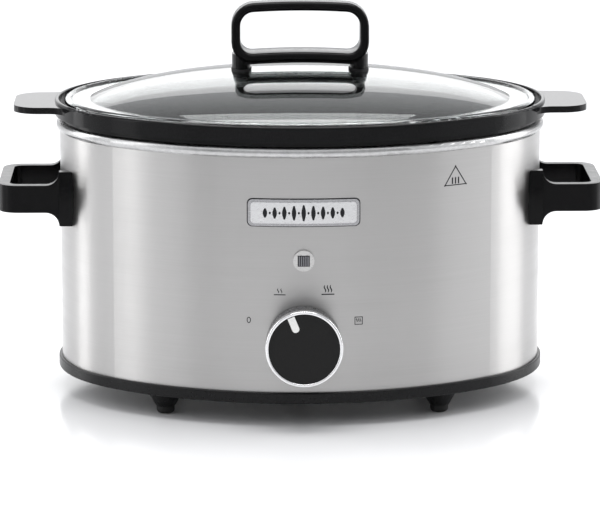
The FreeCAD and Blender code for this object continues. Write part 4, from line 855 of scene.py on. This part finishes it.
def outline_badge():
    """A thin black line painted round the badge's frame: the painted shadow of the gap between the frame and
    the wall.
    """
    low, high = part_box("badge_frame")
    # how far the painted shadow line reaches out round the frame
    shadow_width = 0.55 * MM
    fresh()
    bpy.ops.mesh.primitive_plane_add(size=2, location=(0, 0, 0), rotation=(0, 0, 0))
    line = start("badge_painted_shadow_line")
    bpy.ops.mesh.select_all(action="SELECT")
    bpy.ops.transform.resize(value=((high.x - low.x) / 2 + shadow_width, (high.z - low.z) / 2 + shadow_width, 1))
    bpy.ops.mesh.bevel(offset=3.2 * MM, segments=6, affect="VERTICES")
    for i in range(-14, 15):  # cut across, so that it follows the wall
        bpy.ops.mesh.select_all(action="SELECT")
        bpy.ops.mesh.bisect(plane_co=(i * 2.1 * MM, 0, 0), plane_no=(1, 0, 0))
    pick("FACE", lambda co, no: True)
    bpy.ops.mesh.inset(thickness=shadow_width + 0.4 * MM, depth=0)
    bpy.ops.mesh.delete(type="FACE")
    stand_up(line, 0, PRINT_Y, (low.z + high.z) / 2)
    lay_on(line, "outer_shell", 0.2 * MM)
    # the black ink here paints the shadow round the badge's frame
    settle(line, PRINT_INK_AND_PAINTED_SHADOW, "housing")


# ---------- studio ----------

def make_floor():
    fresh()
    bpy.ops.mesh.primitive_plane_add(size=24, location=(0, 4, 0))
    floor = bpy.context.object
    floor.name = "studio_floor"
    bpy.ops.object.transform_apply(location=True, rotation=True, scale=True)
    material, tree, place = new_finish("pale_gloss_sheet")
    haze = grain(tree, place, (300, 300, 300))
    close(material, tree, {
        "Base Color": linear("#e4e4e5"),
        "Roughness": spread(tree, haze, 0.16, 0.20),
        "IOR": 1.45,
    })
    floor.data.materials.append(material)


def soft_light(name, place, aim, width, height, power):
    """A rectangular softbox that faces a point."""
    fresh()
    bpy.ops.object.light_add(type="AREA", location=place)
    lamp = bpy.context.object
    lamp.name = name
    lamp.data.shape = "RECTANGLE"
    lamp.data.size = width
    lamp.data.size_y = height
    lamp.data.energy = power
    lamp.visible_camera = False
    lamp.rotation_euler = (Vector(aim) - Vector(place)).to_track_quat("-Z", "Y").to_euler()


def grey_flag(name, place, width, height, turn, code):
    """An upright matt board, turned about its middle, that only shades what it faces."""
    fresh()
    bpy.ops.mesh.primitive_plane_add(size=1, location=place, rotation=(QUARTER, 0, turn))
    board = bpy.context.object
    board.name = name
    board.scale = (width, height, 1)
    bpy.ops.object.transform_apply(location=True, rotation=True, scale=True)
    material, tree, where = new_finish(f"{name}_cloth")
    weave = grain(tree, where, (8, 8, 8))
    close(material, tree, {
        "Base Color": linear(code),
        "Roughness": spread(tree, weave, 0.8, 0.9),
        "Specular IOR Level": 0.1,
    })
    board.data.materials.append(material)
    board.visible_camera = False  # it shades what it faces and hides nothing


def make_studio():
    world = bpy.data.worlds.new("studio_air")
    bpy.context.scene.world = world
    world.use_nodes = True
    air = world.node_tree.nodes["Background"]
    air.inputs["Color"].default_value = linear("#f7f8fa")
    air.inputs["Strength"].default_value = 1.0
    soft_light("softbox_top", (0, 0.1, 1.9), (0, 0, 0), 1.6, 1.1, 30)
    soft_light("softbox_back", (0, 2.4, 0.95), (0, 0, 0.2), 2.6, 1.1, 9.5)
    soft_light("softbox_left", (-1.7, -0.55, 0.75), (0, 0, 0.1), 0.35, 1.5, 3.5)
    soft_light("softbox_back_left", (-1.66, 0.70, 0.75), (0, 0, 0.1), 0.45, 1.5, 7)
    soft_light("softbox_right", (1.74, 0.42, 0.75), (0, 0, 0.1), 0.95, 1.5, 12)
    grey_flag("front_flag", (0, -4.2, 1.2), 6.4, 2.6, 0, "#d8d8d8")
    grey_flag("left_flag", (-1.45, -1.75, 0.8), 0.5, 1.7, -0.69, "#a0a0a0")
    grey_flag("right_flag", (1.40, -1.65, 0.8), 1.3, 1.7, 0.70, "#a4a4a4")
    bpy.context.scene.view_settings.view_transform = "Standard"


make_camera()
finish_nodes()
print_marks()
dress_badge()
outline_badge()
side_handle("strap_handle_right", "side_handle_right", 1)
side_handle("strap_handle_left", "side_handle_left", -1)
lid_loop()
knurl_skirt()
round_pointer()
flute_lens()
make_floor()
make_studio()
